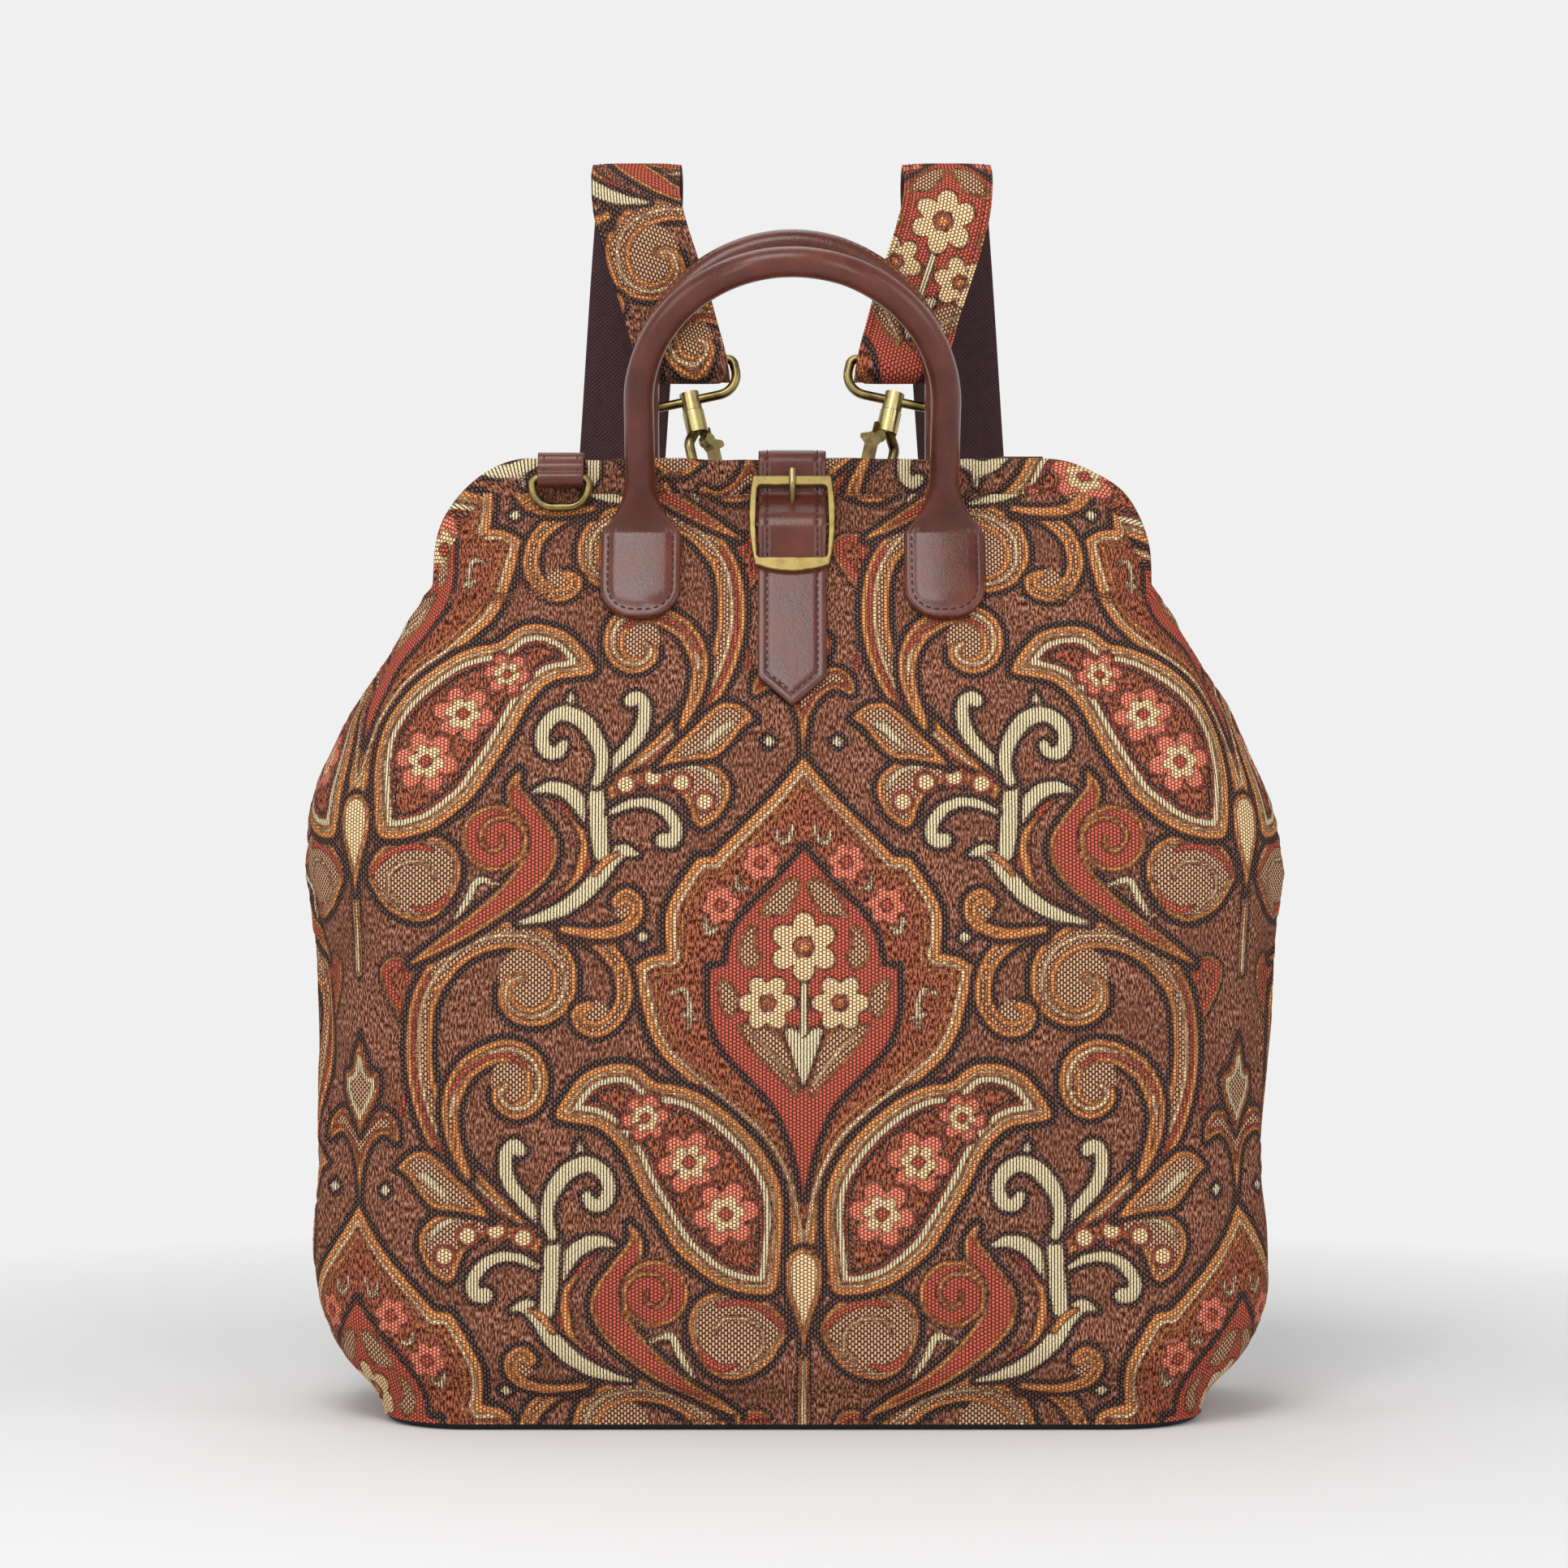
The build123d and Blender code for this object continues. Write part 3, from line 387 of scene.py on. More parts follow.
tapestry = tapestryFinish("damaskTapestry")
leather = leatherFinish()
brass = brassFinish()
webbing = ribbedFinish("strapWebbing", tone(34, 20, 24), tone(78, 50, 54), 1.9)
baseCanvas = wovenFinish("baseCanvas", tone(10, 8, 9), tone(30, 26, 27), 3600, .6)
liningTwill = wovenFinish("liningTwill", tone(62, 45, 35), tone(96, 72, 56), 5200)
sleeveTwill = wovenFinish("sleeveTwill", tone(52, 40, 33), tone(84, 66, 54), 4200)
boardGrey = plainFinish("baseBoard", tone(36, 34, 34), tone(52, 49, 48), 400.0, Roughness=.8)
zincSteel = plainFinish("zincSteel", tone(128, 128, 126), tone(160, 160, 156), 300.0, Metallic=1.0, Roughness=.4)
# stitch thread tone: partly the thread's own dark brown, partly painted shade of the stitch holes
thread = plainFinish("threadWithPaintedHoleShade", tone(40, 18, 15), tone(70, 36, 28), 1500.0, Roughness=.6)
goldThread = plainFinish("seamThread", tone(70, 46, 36), tone(110, 78, 60), 1500.0, Roughness=.7)
handleThread = plainFinish("handleThread", tone(118, 78, 62), tone(168, 120, 98), 1500.0, Roughness=.6)
print("finishes made")


# damask drawn on the cloth: u from the motif's middle line, v above the base seam, in millimetres;
# a third number in a motif's point is half the stroke's width

yarns = ("rust", "dark", "taupe", "sage", "red", "gold", "coral", "cream")
damask = {"pitch": 184.0, "repeat": 366.0, "far": 40.0}


def lineDistance(p, line, widths=None):
    best = np.full(len(p), 1e9)
    for i in range(len(line) - 1):
        a, b = line[i, :2], line[i + 1, :2]
        ab = b - a
        t = np.clip(((p - a) @ ab) / max(ab @ ab, 1e-9), 0, 1)
        d = np.hypot(*(p - a - t[:, None] * ab).T)
        if widths is not None:
            d = d - (widths[i] + t * (widths[i + 1] - widths[i]))
        np.minimum(best, d, out=best)
    return best


def insideRing(p, ring):
    hit = np.zeros(len(p), bool)
    for (ax, ay), (bx, by) in zip(ring, np.roll(ring, -1, 0)):
        if ay != by:
            cross = (p[:, 1] < ay) != (p[:, 1] < by)
            hit ^= cross & (p[:, 0] < ax + (p[:, 1] - ay) * (bx - ax) / (by - ay))
    return hit


class Loom:
    def __init__(self, u, v):
        pitch, repeat = damask["pitch"], damask["repeat"]
        self.gaps = {yarn: np.full(len(u), damask["far"]) for yarn in yarns}
        u = np.abs(np.mod(u + pitch, 2 * pitch) - pitch)
        self.places = []
        for one, two in ((u, v), (pitch - u, v + repeat / 2)):
            two = np.mod(two, repeat)
            for su in (one, -one, 2 * pitch - one):
                for sv in (two - repeat, two, two + repeat):
                    self.places.append(np.stack([su, sv], 1))

    def lay(self, measure, low, high, edge, bands):
        reach = edge + 1.0
        for spots in self.places:
            near = np.where(((spots > low - reach) & (spots < high + reach)).all(1))[0]
            if not len(near):
                continue
            d = measure(spots[near])
            for yarn in yarns:
                self.gaps[yarn][near] = np.maximum(self.gaps[yarn][near], edge - d)
            for yarn, start, stop in [("dark", -edge, 0)] + list(bands):
                band = start + d if stop is None else np.maximum(start + d, -stop - d)
                self.gaps[yarn][near] = np.minimum(self.gaps[yarn][near], band)

    def stroke(self, points, edge, *bands):
        line = smoothLine(points, steps=4)
        wide = np.maximum(line[:, 2], .2)
        low, high = (line[:, :2] - wide[:, None]).min(0), (line[:, :2] + wide[:, None]).max(0)
        self.lay(lambda p: lineDistance(p, line, wide), low, high, edge, bands)

    def shape(self, points, edge, *bands, mirror=None):
        if mirror is not None:
            points = list(points) + [(2 * mirror - a, b) for a, b in points[::-1]]
        ring = smoothLine(points, True, 4)
        loop = np.vstack([ring, ring[:1]])

        def measure(p):
            d = lineDistance(p, loop)
            return np.where(insideRing(p, ring), -d, d)
        self.lay(measure, ring.min(0), ring.max(0), edge, bands)

    def flower(self, at, size, petals, turn, edge, *bands):
        at = np.array(at, float)

        def measure(p):
            q = p - at
            angle = np.arctan2(q[:, 1], q[:, 0])
            petal = np.abs(np.cos(petals * angle / 2 + turn)) ** .5
            return np.hypot(q[:, 0], q[:, 1]) - size * (.46 + .54 * petal)
        self.lay(measure, at - size, at + size, edge, bands)


motif = {
    "medallion": [
        (0, 268.8), (0, 268.8), (12.7, 252.5), (26.3, 237.9), (36, 227.5), (36, 227.5), (42.8, 226.6),
        (42.8, 226.6), (48, 218.8), (53.9, 208.4), (55.5, 200.3), (54.5, 188.3), (54.5, 188.3), (62.3, 186.6),
        (68.2, 182.4), (68.2, 182.4), (64.6, 167.5), (61.7, 157.1), (56.2, 147), (47.7, 138.9), (39.6, 131.8),
        (30.2, 124.3), (19.8, 114.9), (12.7, 104.5), (7.8, 92.2), (5.2, 77.9), (3.2, 67.2)],
    "ogee": [
        (0, 230.1), (0, 230.1), (11.7, 216.2), (21.1, 206.4), (28.2, 196.1), (30.8, 183.7), (30.8, 183.7),
        (37.3, 181.8), (37.3, 181.8), (37.3, 165.5), (33.4, 152.6), (24.7, 141.9), (12.3, 128.2), (6.2, 115.9),
        (1.9, 101.3), (0, 91.5), (0, 91.5)],
    "bud": [
        (0, 70.4), (4.5, 68.5), (7.1, 63), (6.5, 52.6), (3.9, 44.5), (1.6, 36.4), (0, 29.2)],
    "stem": [
        (0, 31.5, 1.6), (0, 20.1, 1.9), (0, 8.8, 2.3), (0, -2.6, 2.3)],
    "feather": [
        (108.4, 75.6, 1), (117.2, 83.1, 2.3), (127.6, 92.2, 3.6), (138, 102.6, 4.9), (146.1, 114.9, 5.5),
        (151.3, 127.6, 5.5), (154.2, 140.9, 5.5), (154.5, 154.5, 5.5), (152.9, 167.5, 5.2),
        (148.3, 177.9, 5.2), (140.2, 187.6, 5.2), (129.8, 193.5, 5.2), (117.2, 195.7, 5.2),
        (105.8, 193.1, 5.2), (98, 186, 5.2), (95.8, 175.9, 4.9), (99, 167.5, 4.5), (106.8, 162.9, 3.9),
        (114.9, 164.2, 3.6), (119.5, 170.1, 3.2), (118.2, 176.6, 2.6), (113.3, 178.5, 2.3)],
    "featherRed": [
        (117.5, 81.8, 0.7), (128.2, 90.2, 0.9), (138.9, 100.6, 0.9), (148, 113.6, 0.9), (153.5, 127.2, 0.9),
        (156.5, 140.9, 0.9), (156.8, 154.5, 0.9), (155.2, 168.1, 0.9), (150.3, 179.2, 0.9)],
    "scroll": [
        (134.7, 98.7, 1.3), (139.6, 110.4, 2.6), (141.9, 122.4, 3.2), (140.2, 132.8, 3.9), (135, 141.9, 4.2),
        (126.6, 147.4, 4.2), (117.2, 149, 4.5), (109.4, 144.8, 4.5), (106.5, 136.7, 4.2), (108.7, 128.9, 3.9),
        (114.6, 125.3, 3.6), (120.4, 127.2, 2.9), (122.4, 131.8, 2.6), (119.5, 135, 1.9)],
    "curl": [
        (74.7, 209, 2.6), (71.4, 211.6, 2.9), (67.5, 209, 2.9), (67.2, 203.8, 2.6), (70.8, 199.3, 2.6),
        (77.9, 196.7, 2.3), (86, 196.4, 1.9), (96.7, 198, 1.3)],
    "curlBelow": [
        (96.7, 195.4, 1.3), (87, 194.8, 2.6), (78.6, 189.6, 3.2), (73, 181.1, 3.2), (71.7, 171.1, 3.2),
        (75.6, 162.3, 3.2), (82.4, 157.8, 3.2), (88.9, 159.7, 2.9), (90.2, 164.6, 2.6), (86.3, 167.2, 1.9)],
    "leaf": [
        (164.2, 101.6), (164.2, 101.6), (158.7, 107.1), (151.6, 108.4), (146.1, 104.5), (139.9, 98.4),
        (131.8, 90.2), (125.3, 81.8), (125.3, 81.8), (133.1, 83.7), (140.6, 85), (148.3, 86), (154.5, 92.2),
        (159.1, 98.4)],
    "leafVein": [
        (155.2, 100, 0.6), (151.3, 98, 1.6), (147.4, 94.1, 1.3), (142.2, 89.6, 0.6), (134.7, 85.7, 0.3)],
    "fan": [
        (104.8, 67.2), (111, 71.1), (117.2, 73.7), (126.6, 74.7), (133.4, 71.7), (137.6, 65.6), (139.9, 58.4),
        (143.1, 56.2), (143.1, 56.2), (149.3, 60.4), (153.2, 66.9), (154.5, 73.4), (151.6, 79.5),
        (145.1, 83.4), (136, 84.7), (125.6, 81.8), (115.2, 77.9), (104.8, 73)],
    "fanVein": [
        (150.3, 72.1, 0.6), (147.4, 77.6, 1), (142.2, 80.8, 1), (136.3, 81.5, 0.5)],
    "volute": [
        (10.4, 29.2), (15.6, 23), (22.7, 19.2), (30.2, 17.9), (38.3, 21.7), (44.1, 30.2), (46.1, 38.3),
        (44.5, 45.8), (39.3, 51), (31.2, 52.9), (22.7, 51.9), (14.6, 48.7), (9.4, 43.5), (6.5, 36.4)],
    "voluteLine": [
        (35.4, 35.1, 0.6), (34.4, 39, 0.7), (30.5, 41.9, 0.8), (23, 41.5, 0.8), (17.2, 37.3, 0.8),
        (16.2, 30.5, 0.8), (20.8, 25.6, 0.8)],
    "voluteTop": [
        (34.4, 47.1, 1), (27.6, 48.4, 1.3), (20.1, 47.1, 1.3), (13, 42.8, 1.3), (7.8, 36.4, 1)],
    "voluteFoot": [
        (41.5, 29.9, 0.6), (38.3, 25.3, 1.5), (32.5, 22.7, 1.5), (26, 24, 0.6)],
    "commaNeck": [
        (69.5, 79.9, 0.5), (67.2, 72.1, 2.9), (72.1, 61.7, 5.2), (78.6, 49.3, 6.5), (75.6, 39, 6.2),
        (65.9, 28.6, 4.9), (51.9, 17.5, 3.6), (37.3, 7.8, 2.3), (26, 1, 0.6)],
    "commaTurn": [
        (63, 39, 0.8), (70.8, 45.4, 0.8), (71.4, 54.2, 0.8), (65.6, 59.7, 0.8), (57.8, 59.1, 0.8),
        (53.9, 52.6, 0.8), (57.8, 46.7, 0.8), (63, 48.7, 0.7), (62.6, 52.6, 0.6)],
    "smallLeaf": [
        (61.7, 32.8, 0.5), (53.2, 34.7, 1.3), (49.3, 27.3, 1.3), (43.5, 18.5, 0.5)],
    "paisley": [
        (99.3, 123.3), (91.2, 136.7), (84.1, 141.9), (74.7, 144.1), (66.2, 142.5), (59.1, 136.7), (51, 135.4),
        (41.5, 132.1), (31.2, 125), (20.8, 114.9), (13.6, 104.5), (9.4, 94.5), (8.1, 81.8), (9.1, 70.4),
        (10.1, 60.1), (12, 52.6), (18.8, 51.6), (26.9, 52.9), (35.4, 56.2), (43.5, 62.3), (51, 69.5),
        (56.2, 77.9), (62.3, 88.3), (67.5, 98.4), (71.4, 106.8), (76.6, 113.9), (82.8, 118.8), (91.2, 120.4)],
    "cupLeaf": [
        (109.1, 254.2, 0.5), (101.9, 256.1, 2.3), (94.8, 253.8, 2.9), (89.9, 248.6, 2.9), (87, 242.5, 1.9)],
    "cupRed": [
        (104.5, 253.5, 0.5), (98.7, 249.9, 1.3), (92.8, 244.1, 2.3), (88.9, 237.6, 2.6), (87.3, 231.1, 2.9),
        (88.6, 224.6, 2.9), (90.2, 218.1, 2.9), (94.8, 212.6, 2.6), (101.9, 208.4, 1.6), (108.7, 204.5, 0.6)],
    "cupGold": [
        (93.5, 243.1, 0.6), (89.3, 237, 1.3), (88, 231.1, 1.5), (89.3, 224.6, 1.5), (91.2, 218.1, 1.5),
        (95.4, 213.6, 1)],
    "lowLeaf": [
        (66.5, 228.2, 0.5), (73, 229.8, 2.6), (78.6, 224.6, 3.2), (84.4, 216.5, 3.2), (92.5, 209, 2.9),
        (102.2, 203.8, 2.3), (114.9, 200.3, 0.5)],
    "lowLeafGold": [
        (74, 228.8, 0.6), (79.5, 225.6, 1.3), (84.1, 220.1, 1)],
    "stalk": [
        (84.1, 257.7, 2.6), (82.8, 246, 3.2), (82.4, 237.6, 3.2), (81.2, 228.5, 2.9)],
    "lowHook": [
        (77.3, 245.7, 1), (70.4, 249, 1.6), (62.3, 249.6, 1.9), (55.5, 246, 2.3), (51.3, 239.9, 2.3),
        (52.3, 234.4, 2.6), (56.5, 234, 2.9)],
    "hook": [
        (70.1, 292.5, 2.6), (67.8, 294.4, 2.3), (64.9, 291.5, 2.3), (64.6, 284.3, 2.6), (67.8, 276.6, 2.6),
        (74, 269.4, 2.3), (79.2, 262.6, 1.3)],
    "arch": [
        (97.4, 274, 1.9), (99.3, 270.7, 2.3), (103.5, 271, 2.6), (105.8, 274.9, 2.6), (105.8, 279.8, 2.6),
        (103.2, 284, 2.8), (98.4, 286.9, 2.9), (93.2, 286, 3.1), (88.3, 282.7, 3.1), (84.4, 277.5, 2.9),
        (82.1, 271.7, 2.6), (81.5, 265.2, 2.3), (83.4, 258.4, 1.9)],
    "archTip": [
        (94.1, 296, 0.3), (94.5, 292.1, 1.6), (94.8, 287.6, 2.9)],
    "crownArm": [
        (184, 115.2), (179.5, 119.5), (173.6, 124), (168.4, 123.7), (164.2, 119.1), (163.9, 112),
        (169.1, 114.6), (173, 114.3), (178.5, 109.4), (182.1, 101.3), (183.7, 89.6)],
    "crownLeaf": [
        (184, 153.2), (179.8, 145.1), (178.5, 140.6), (173.6, 139.3), (172.6, 133.7), (175.6, 126.6),
        (179.5, 121.4), (183.4, 114.9)],
    "sprigs": [
        [(10.7, 237.9, 0.6), (9.4, 233.1, 0.7), (6.2, 234, 0.7), (4.5, 239.9, 0.6)],
        [(26.9, 219.1, 0.6), (26, 214.2, 0.7), (22.1, 214.6, 0.6)],
        [(39.9, 202.6, 0.6), (38.3, 196.4, 0.8), (34.4, 199, 0.6)],
        [(52.9, 172.4, 0.6), (47.7, 173.7, 0.8), (45.8, 167.2, 0.8), (46.1, 157.8, 0.6)],
        [(49.3, 164.2, 0.6), (42.8, 162.3, 0.6)]],
    "fanScallops": [(144.1, 66.9), (134.7, 75), (123.3, 77.3), (112.3, 74.3)],
    "dots": [(64.6, 194.8), (14, 275.6)],
    "pod": [
        (156, 177), (158, 183.5), (163, 186.5), (168.5, 185.5), (172, 181), (170.5, 174), (166.5, 167),
        (162, 160), (158.5, 154.5), (156.6, 161), (155.7, 169)],
    "podTail": [(161.6, 153, 1.0), (160.8, 141, 1.1), (161, 130, 1.0), (163.4, 121, .7)],
    "ogeeLeaves": [
        [(1, 217), (5, 219), (10.2, 215.8), (15.5, 209.5), (18.2, 202.6), (13, 203), (7.4, 203.6), (4.2, 208),
         (2, 212.6)],
        [(18.4, 199.5), (23, 198.5), (26.2, 191), (25.6, 184.6), (20, 181.8), (16.6, 187), (19.2, 192)],
        [(26, 171), (29, 176.5), (34.6, 178), (34, 170), (31, 162.5), (26.6, 164)],
        [(5.9, 149.4), (9.5, 155.8), (16.8, 159.8), (26.8, 160.2), (24, 154), (18.6, 146.7), (9.5, 137.2),
         (2.6, 130.3), (1.4, 134)]],
    "ogeeVein": [(3.4, 135, .7), (9, 143, .9), (15, 150.5, .9), (21, 156.5, .6)],
    "tulip": [(0, 154.6), (3, 157.2), (7.4, 158), (5.8, 151.6), (3, 143.4), (.6, 136.4)],
    "tulipStem": [(0, 156, 1.3), (0, 177, 1.3)],
    "creamFlowers": [((14.6, 168.5), 11.4, 0), ((0, 191), 13.8, math.pi / 2)],
    "coralFlowers": [(17.2, 225), (33.2, 207.6)],
    "paisleyFlowers": [((63.3, 122.4), 10.6), ((45.8, 104.7), 13.8), ((31.2, 84), 14.4)]}


def weaveDamask(u, v):
    loom = Loom(u, v)
    sage, cream, red, gold = ("sage", 0, None), ("cream", 0, None), ("red", 0, None), ("gold", 0, None)
    scrolls = (("gold", 0, 2.2), ("taupe", 2.2, None))

    def curled(points, edge, bands, head, size, turns):
        # the curl's head is filled, and its last turns are drawn over the filling
        loom.stroke(points, edge, *bands)
        loom.flower(head, size, 0, 0, 0, ("taupe", 0, None))
        loom.stroke(turns, 0, *bands)

    loom.shape(motif["medallion"], 3.0, ("gold", 0, 2.7), ("cream", 2.7, 4.6), ("gold", 6.4, 7.8),
               ("rust", 4.6, 6.4), ("rust", 7.8, None), mirror=0)
    for sprig in motif["sprigs"]:
        loom.stroke(sprig, .5, sage)
    loom.shape(motif["ogee"], 2.8, red, mirror=0)
    for leaf in motif["ogeeLeaves"]:
        loom.shape(leaf, 0, ("gold", 0, 1.1), ("taupe", 1.1, None))
    loom.stroke(motif["ogeeVein"], 0, cream)
    loom.shape(motif["tulip"], 1.4, sage, mirror=0)
    loom.stroke(motif["tulipStem"], .5, sage)
    for at, size, turn in motif["creamFlowers"]:
        loom.flower(at, size, 6, turn, .7, cream)
        loom.flower(at, size * .3, 6, .3, .6, ("coral", 0, 1.2), ("gold", 1.2, None))
    for at in motif["coralFlowers"]:
        loom.flower(at, 7.8, 6, .5, .5, ("coral", 0, None))
        loom.flower(at, 2.6, 4, .5, .5, red)
    loom.stroke(motif["stem"], 1.6, ("gold", 0, 1.2), ("sage", 1.2, None))
    loom.shape(motif["pod"], 1.6, ("gold", 0, 1.4), ("red", 1.4, 4.4), ("rust", 4.4, None))
    loom.stroke(motif["podTail"], .8, red)
    curled(motif["feather"], 2.8, scrolls, (108.5, 178), 14.0, motif["feather"][9:])
    loom.stroke(motif["featherRed"], 0, red)
    loom.stroke([(a, b, .9) for a, b, c in motif["feather"][1:]], 0, cream)
    curled(motif["scroll"], 2.6, scrolls, (115.5, 137), 10.0, motif["scroll"][4:])
    loom.stroke([(a - .6, b + .6, 1.0) for a, b, c in motif["scroll"][2:]], 0, cream)
    loom.stroke([(a + 1.7, b - 1.7, 1.0) for a, b, c in motif["scroll"][3:8]], 0, red)
    curled(motif["curlBelow"], 2.4, scrolls, (83.5, 164), 5.5, motif["curlBelow"][3:])
    curled(motif["curl"], 2.4, scrolls, (71.8, 205.8), 4.0, motif["curl"][:5])
    loom.shape(motif["fan"], 2.6, *scrolls)
    for at in motif["fanScallops"]:
        loom.flower(at, 4.9, 0, 0, 0, ("red", 0, 1.5), ("cream", 1.5, None))
    loom.stroke(motif["fanVein"], 0, sage)
    loom.shape(motif["leaf"], 2.6, *scrolls)
    loom.stroke(motif["leafVein"], 0, sage)
    loom.shape(motif["crownArm"], 2.6, ("gold", 0, 1.6), ("red", 1.6, 2.8), ("taupe", 2.8, None),
               mirror=damask["pitch"])
    loom.shape(motif["crownLeaf"], 2.6, ("red", 0, 1.0), ("gold", 1.0, 2.4), ("sage", 2.4, 4.6),
               ("taupe", 4.6, None), mirror=damask["pitch"])
    loom.shape(motif["volute"], 2.8, ("gold", 0, 1.9), ("cream", 1.9, 3.0), ("taupe", 3.0, None))
    loom.stroke(motif["voluteLine"], .4, cream)
    for part in ("voluteTop", "voluteFoot"):
        loom.stroke(motif[part], 0, red)
    loom.stroke(motif["commaNeck"], 2.8, ("gold", 0, 1.7), ("red", 1.7, None))
    loom.flower((59.7, 51.9), 13.5, 0, 0, 1.0, ("gold", 0, 1.7), ("red", 1.7, None))
    loom.stroke(motif["commaTurn"], .5, gold)
    loom.stroke(motif["smallLeaf"], 1.0, sage)
    loom.shape(motif["paisley"], 3.0, ("gold", 0, 2.5), ("cream", 2.5, 4.0), ("gold", 4.0, 5.0),
               ("sage", 5.0, 7.6), ("red", 7.6, 8.8), ("dark", 8.8, 10.4), ("rust", 10.4, None))
    for at, size in motif["paisleyFlowers"]:
        loom.flower(at, size, 6, .5, .8, ("red", 0, 1.2), ("coral", 1.2, None))
        loom.flower(at, size * .55, 6, .5, 0, cream)
        loom.flower(at, size * .2, 4, 0, .3, red)
    loom.shape(motif["bud"], 2.2, ("gold", 0, 1.8), ("cream", 1.8, None), mirror=0)
    loom.stroke(motif["cupRed"], 1.0, red)
    loom.stroke(motif["cupGold"], 0, gold)
    for part in ("cupLeaf", "lowLeaf", "stalk", "lowHook", "hook", "archTip", "arch"):
        loom.stroke(motif[part], 2.2, sage)
    loom.stroke(motif["lowLeafGold"], .3, gold)
    for at in motif["dots"]:
        loom.flower(at, 2.2, 4, 0, 2.4, sage)
    return loom.gaps


def markCloth(mesh, u, v, gaps=None):
    places = np.stack([u, v, np.zeros(u.size)], 1).astype(np.float32)
    mesh.attributes.new("clothPlace", "FLOAT_VECTOR", "POINT").data.foreach_set("vector", places.ravel())
    for yarn, gap in (gaps or {}).items():
        mesh.attributes.new(yarn, "FLOAT", "POINT").data.foreach_set("value", gap.astype(np.float32))


def damaskRelief(gaps):
    proud = sum(ramp(-gaps[y], -.6, .8) * h for y, h in
                (("gold", .35), ("cream", .35), ("sage", .3), ("red", .25), ("coral", .3)))
    return proud - .3 * ramp(-gaps["dark"], -.6, .8)


# bag body: height, half width, half depth, corner radius and bow of the front at each level

body = {
    "levels": ((6, 168, 69.3, 38.5, 0), (28.7, 186, 74.7, 46.2, 2), (111.1, 192, 77, 50, 5),
               (190.6, 195.6, 75.8, 50, 5), (247.4, 200, 68.1, 47.7, 2.5), (290, 184, 56, 42, 0),
               (342, 151, 32.07, 26, 0), (378, 137, 15.5, 11, 0)),
    "curved": 6, "fine": .5, "soften": 6.0, "foot": 6.0, "seam": 378.0, "mouthEdge": 15.6,
    "mouthFoot": 341.0, "mouthEase": 7.0, "girth": 248.0, "spacing": 1.5, "coarse": 5, "wall": 2.4,
    "liningGap": 1.0, "axis": 4.5, "patternFoot": 1.0, "hem": 3.4, "tuck": 2.6, "tuckIn": 1.2,
    "seatRise": (284, 296), "seatHalf": 100, "seatSink": .3}


def levelTable():
    # the levels below the bend are joined by a curve, those above by lines, and all is softened
    at = np.array(body["levels"], float)
    z = np.arange(body["foot"], body["seam"] + body["fine"] / 2, body["fine"])
    cut = body["curved"]
    out = []
    for k in (1, 2, 3, 4):
        x, y = at[:cut, 0], at[:cut, k]
        tilt = np.gradient(y, x)
        i = np.clip(np.searchsorted(x, z) - 1, 0, cut - 2)
        h = x[i + 1] - x[i]
        t = (z - x[i]) / h
        low = (1 + 2 * t) * (1 - t) ** 2 * y[i] + t * (1 - t) ** 2 * h * tilt[i] \
            + t * t * (3 - 2 * t) * y[i + 1] + t * t * (t - 1) * h * tilt[i + 1]
        line = np.where(z < x[-1], low, np.interp(z, at[:, 0], at[:, k]))
        reach = int(body["soften"] * 3 / body["fine"])
        kernel = bell(np.arange(-reach, reach + 1) * body["fine"], body["soften"])
        ends = np.r_[2 * line[0] - line[reach:0:-1], line, 2 * line[-1] - line[-2:-reach - 2:-1]]
        out.append(np.convolve(ends, kernel / kernel.sum(), "valid"))
    return z, out


levelZ, levelSizes = levelTable()


def sectionLine(z, edge, count, bowed):
    w, d, c, bow = (np.interp(z, levelZ, k) for k in levelSizes)
    turn = np.linspace(0, math.pi / 2, 40)[1:]
    x = np.r_[np.linspace(0, w - c, 30), w - c + c * np.sin(turn), np.full(20, w)]
    y = np.r_[np.full(30, d), d - c + c * np.cos(turn), np.linspace(d - c, 0, 21)[1:]]
    y = y + bowed * max(bow, 0) * np.clip(1 - (x / (w - c)) ** 2, 0, 1)
    keep = y >= min(edge, d - .3) - 1e-6
    x, y = x[keep], y[keep]
    run = runAlong(np.stack([x, y], 1))
    at = np.linspace(0, run[-1], count)
    return np.interp(at, run, x), np.interp(at, run, y), at


def bodyGrid(side):
    step = body["spacing"]
    rise = np.r_[0, np.cumsum(np.hypot(np.diff(levelZ), np.diff(levelSizes[1])))]
    rows = int(rise[-1] / step) + 1
    v = np.linspace(0, rise[-1], rows)
    half = int(body["girth"] / step) + 1
    grid, u = [], []
    for z in np.interp(v, rise, levelZ):
        edge = body["mouthEdge"] * ramp(z, body["mouthFoot"] - body["mouthEase"], body["mouthFoot"])
        x, y, at = sectionLine(z, edge, half, side < 0)
        x, y, at = np.r_[-x[:0:-1], x], np.r_[y[:0:-1], y], np.r_[-at[:0:-1], at]
        grid.append(np.stack([x * -side, side * y, np.full(len(x), z)], 1))
        u.append(at)
    return np.array(grid), np.array(u), np.repeat(v[:, None] + body["patternFoot"], 2 * half - 1, 1)


folds = {
    "front": {"belly": .5, "dimple": .8, "pleat": 2.4, "swell": 2.5, "seed": 11},
    "back": {"belly": .6, "dimple": .8, "pleat": 2.2, "swell": 1.2, "seed": 23}}
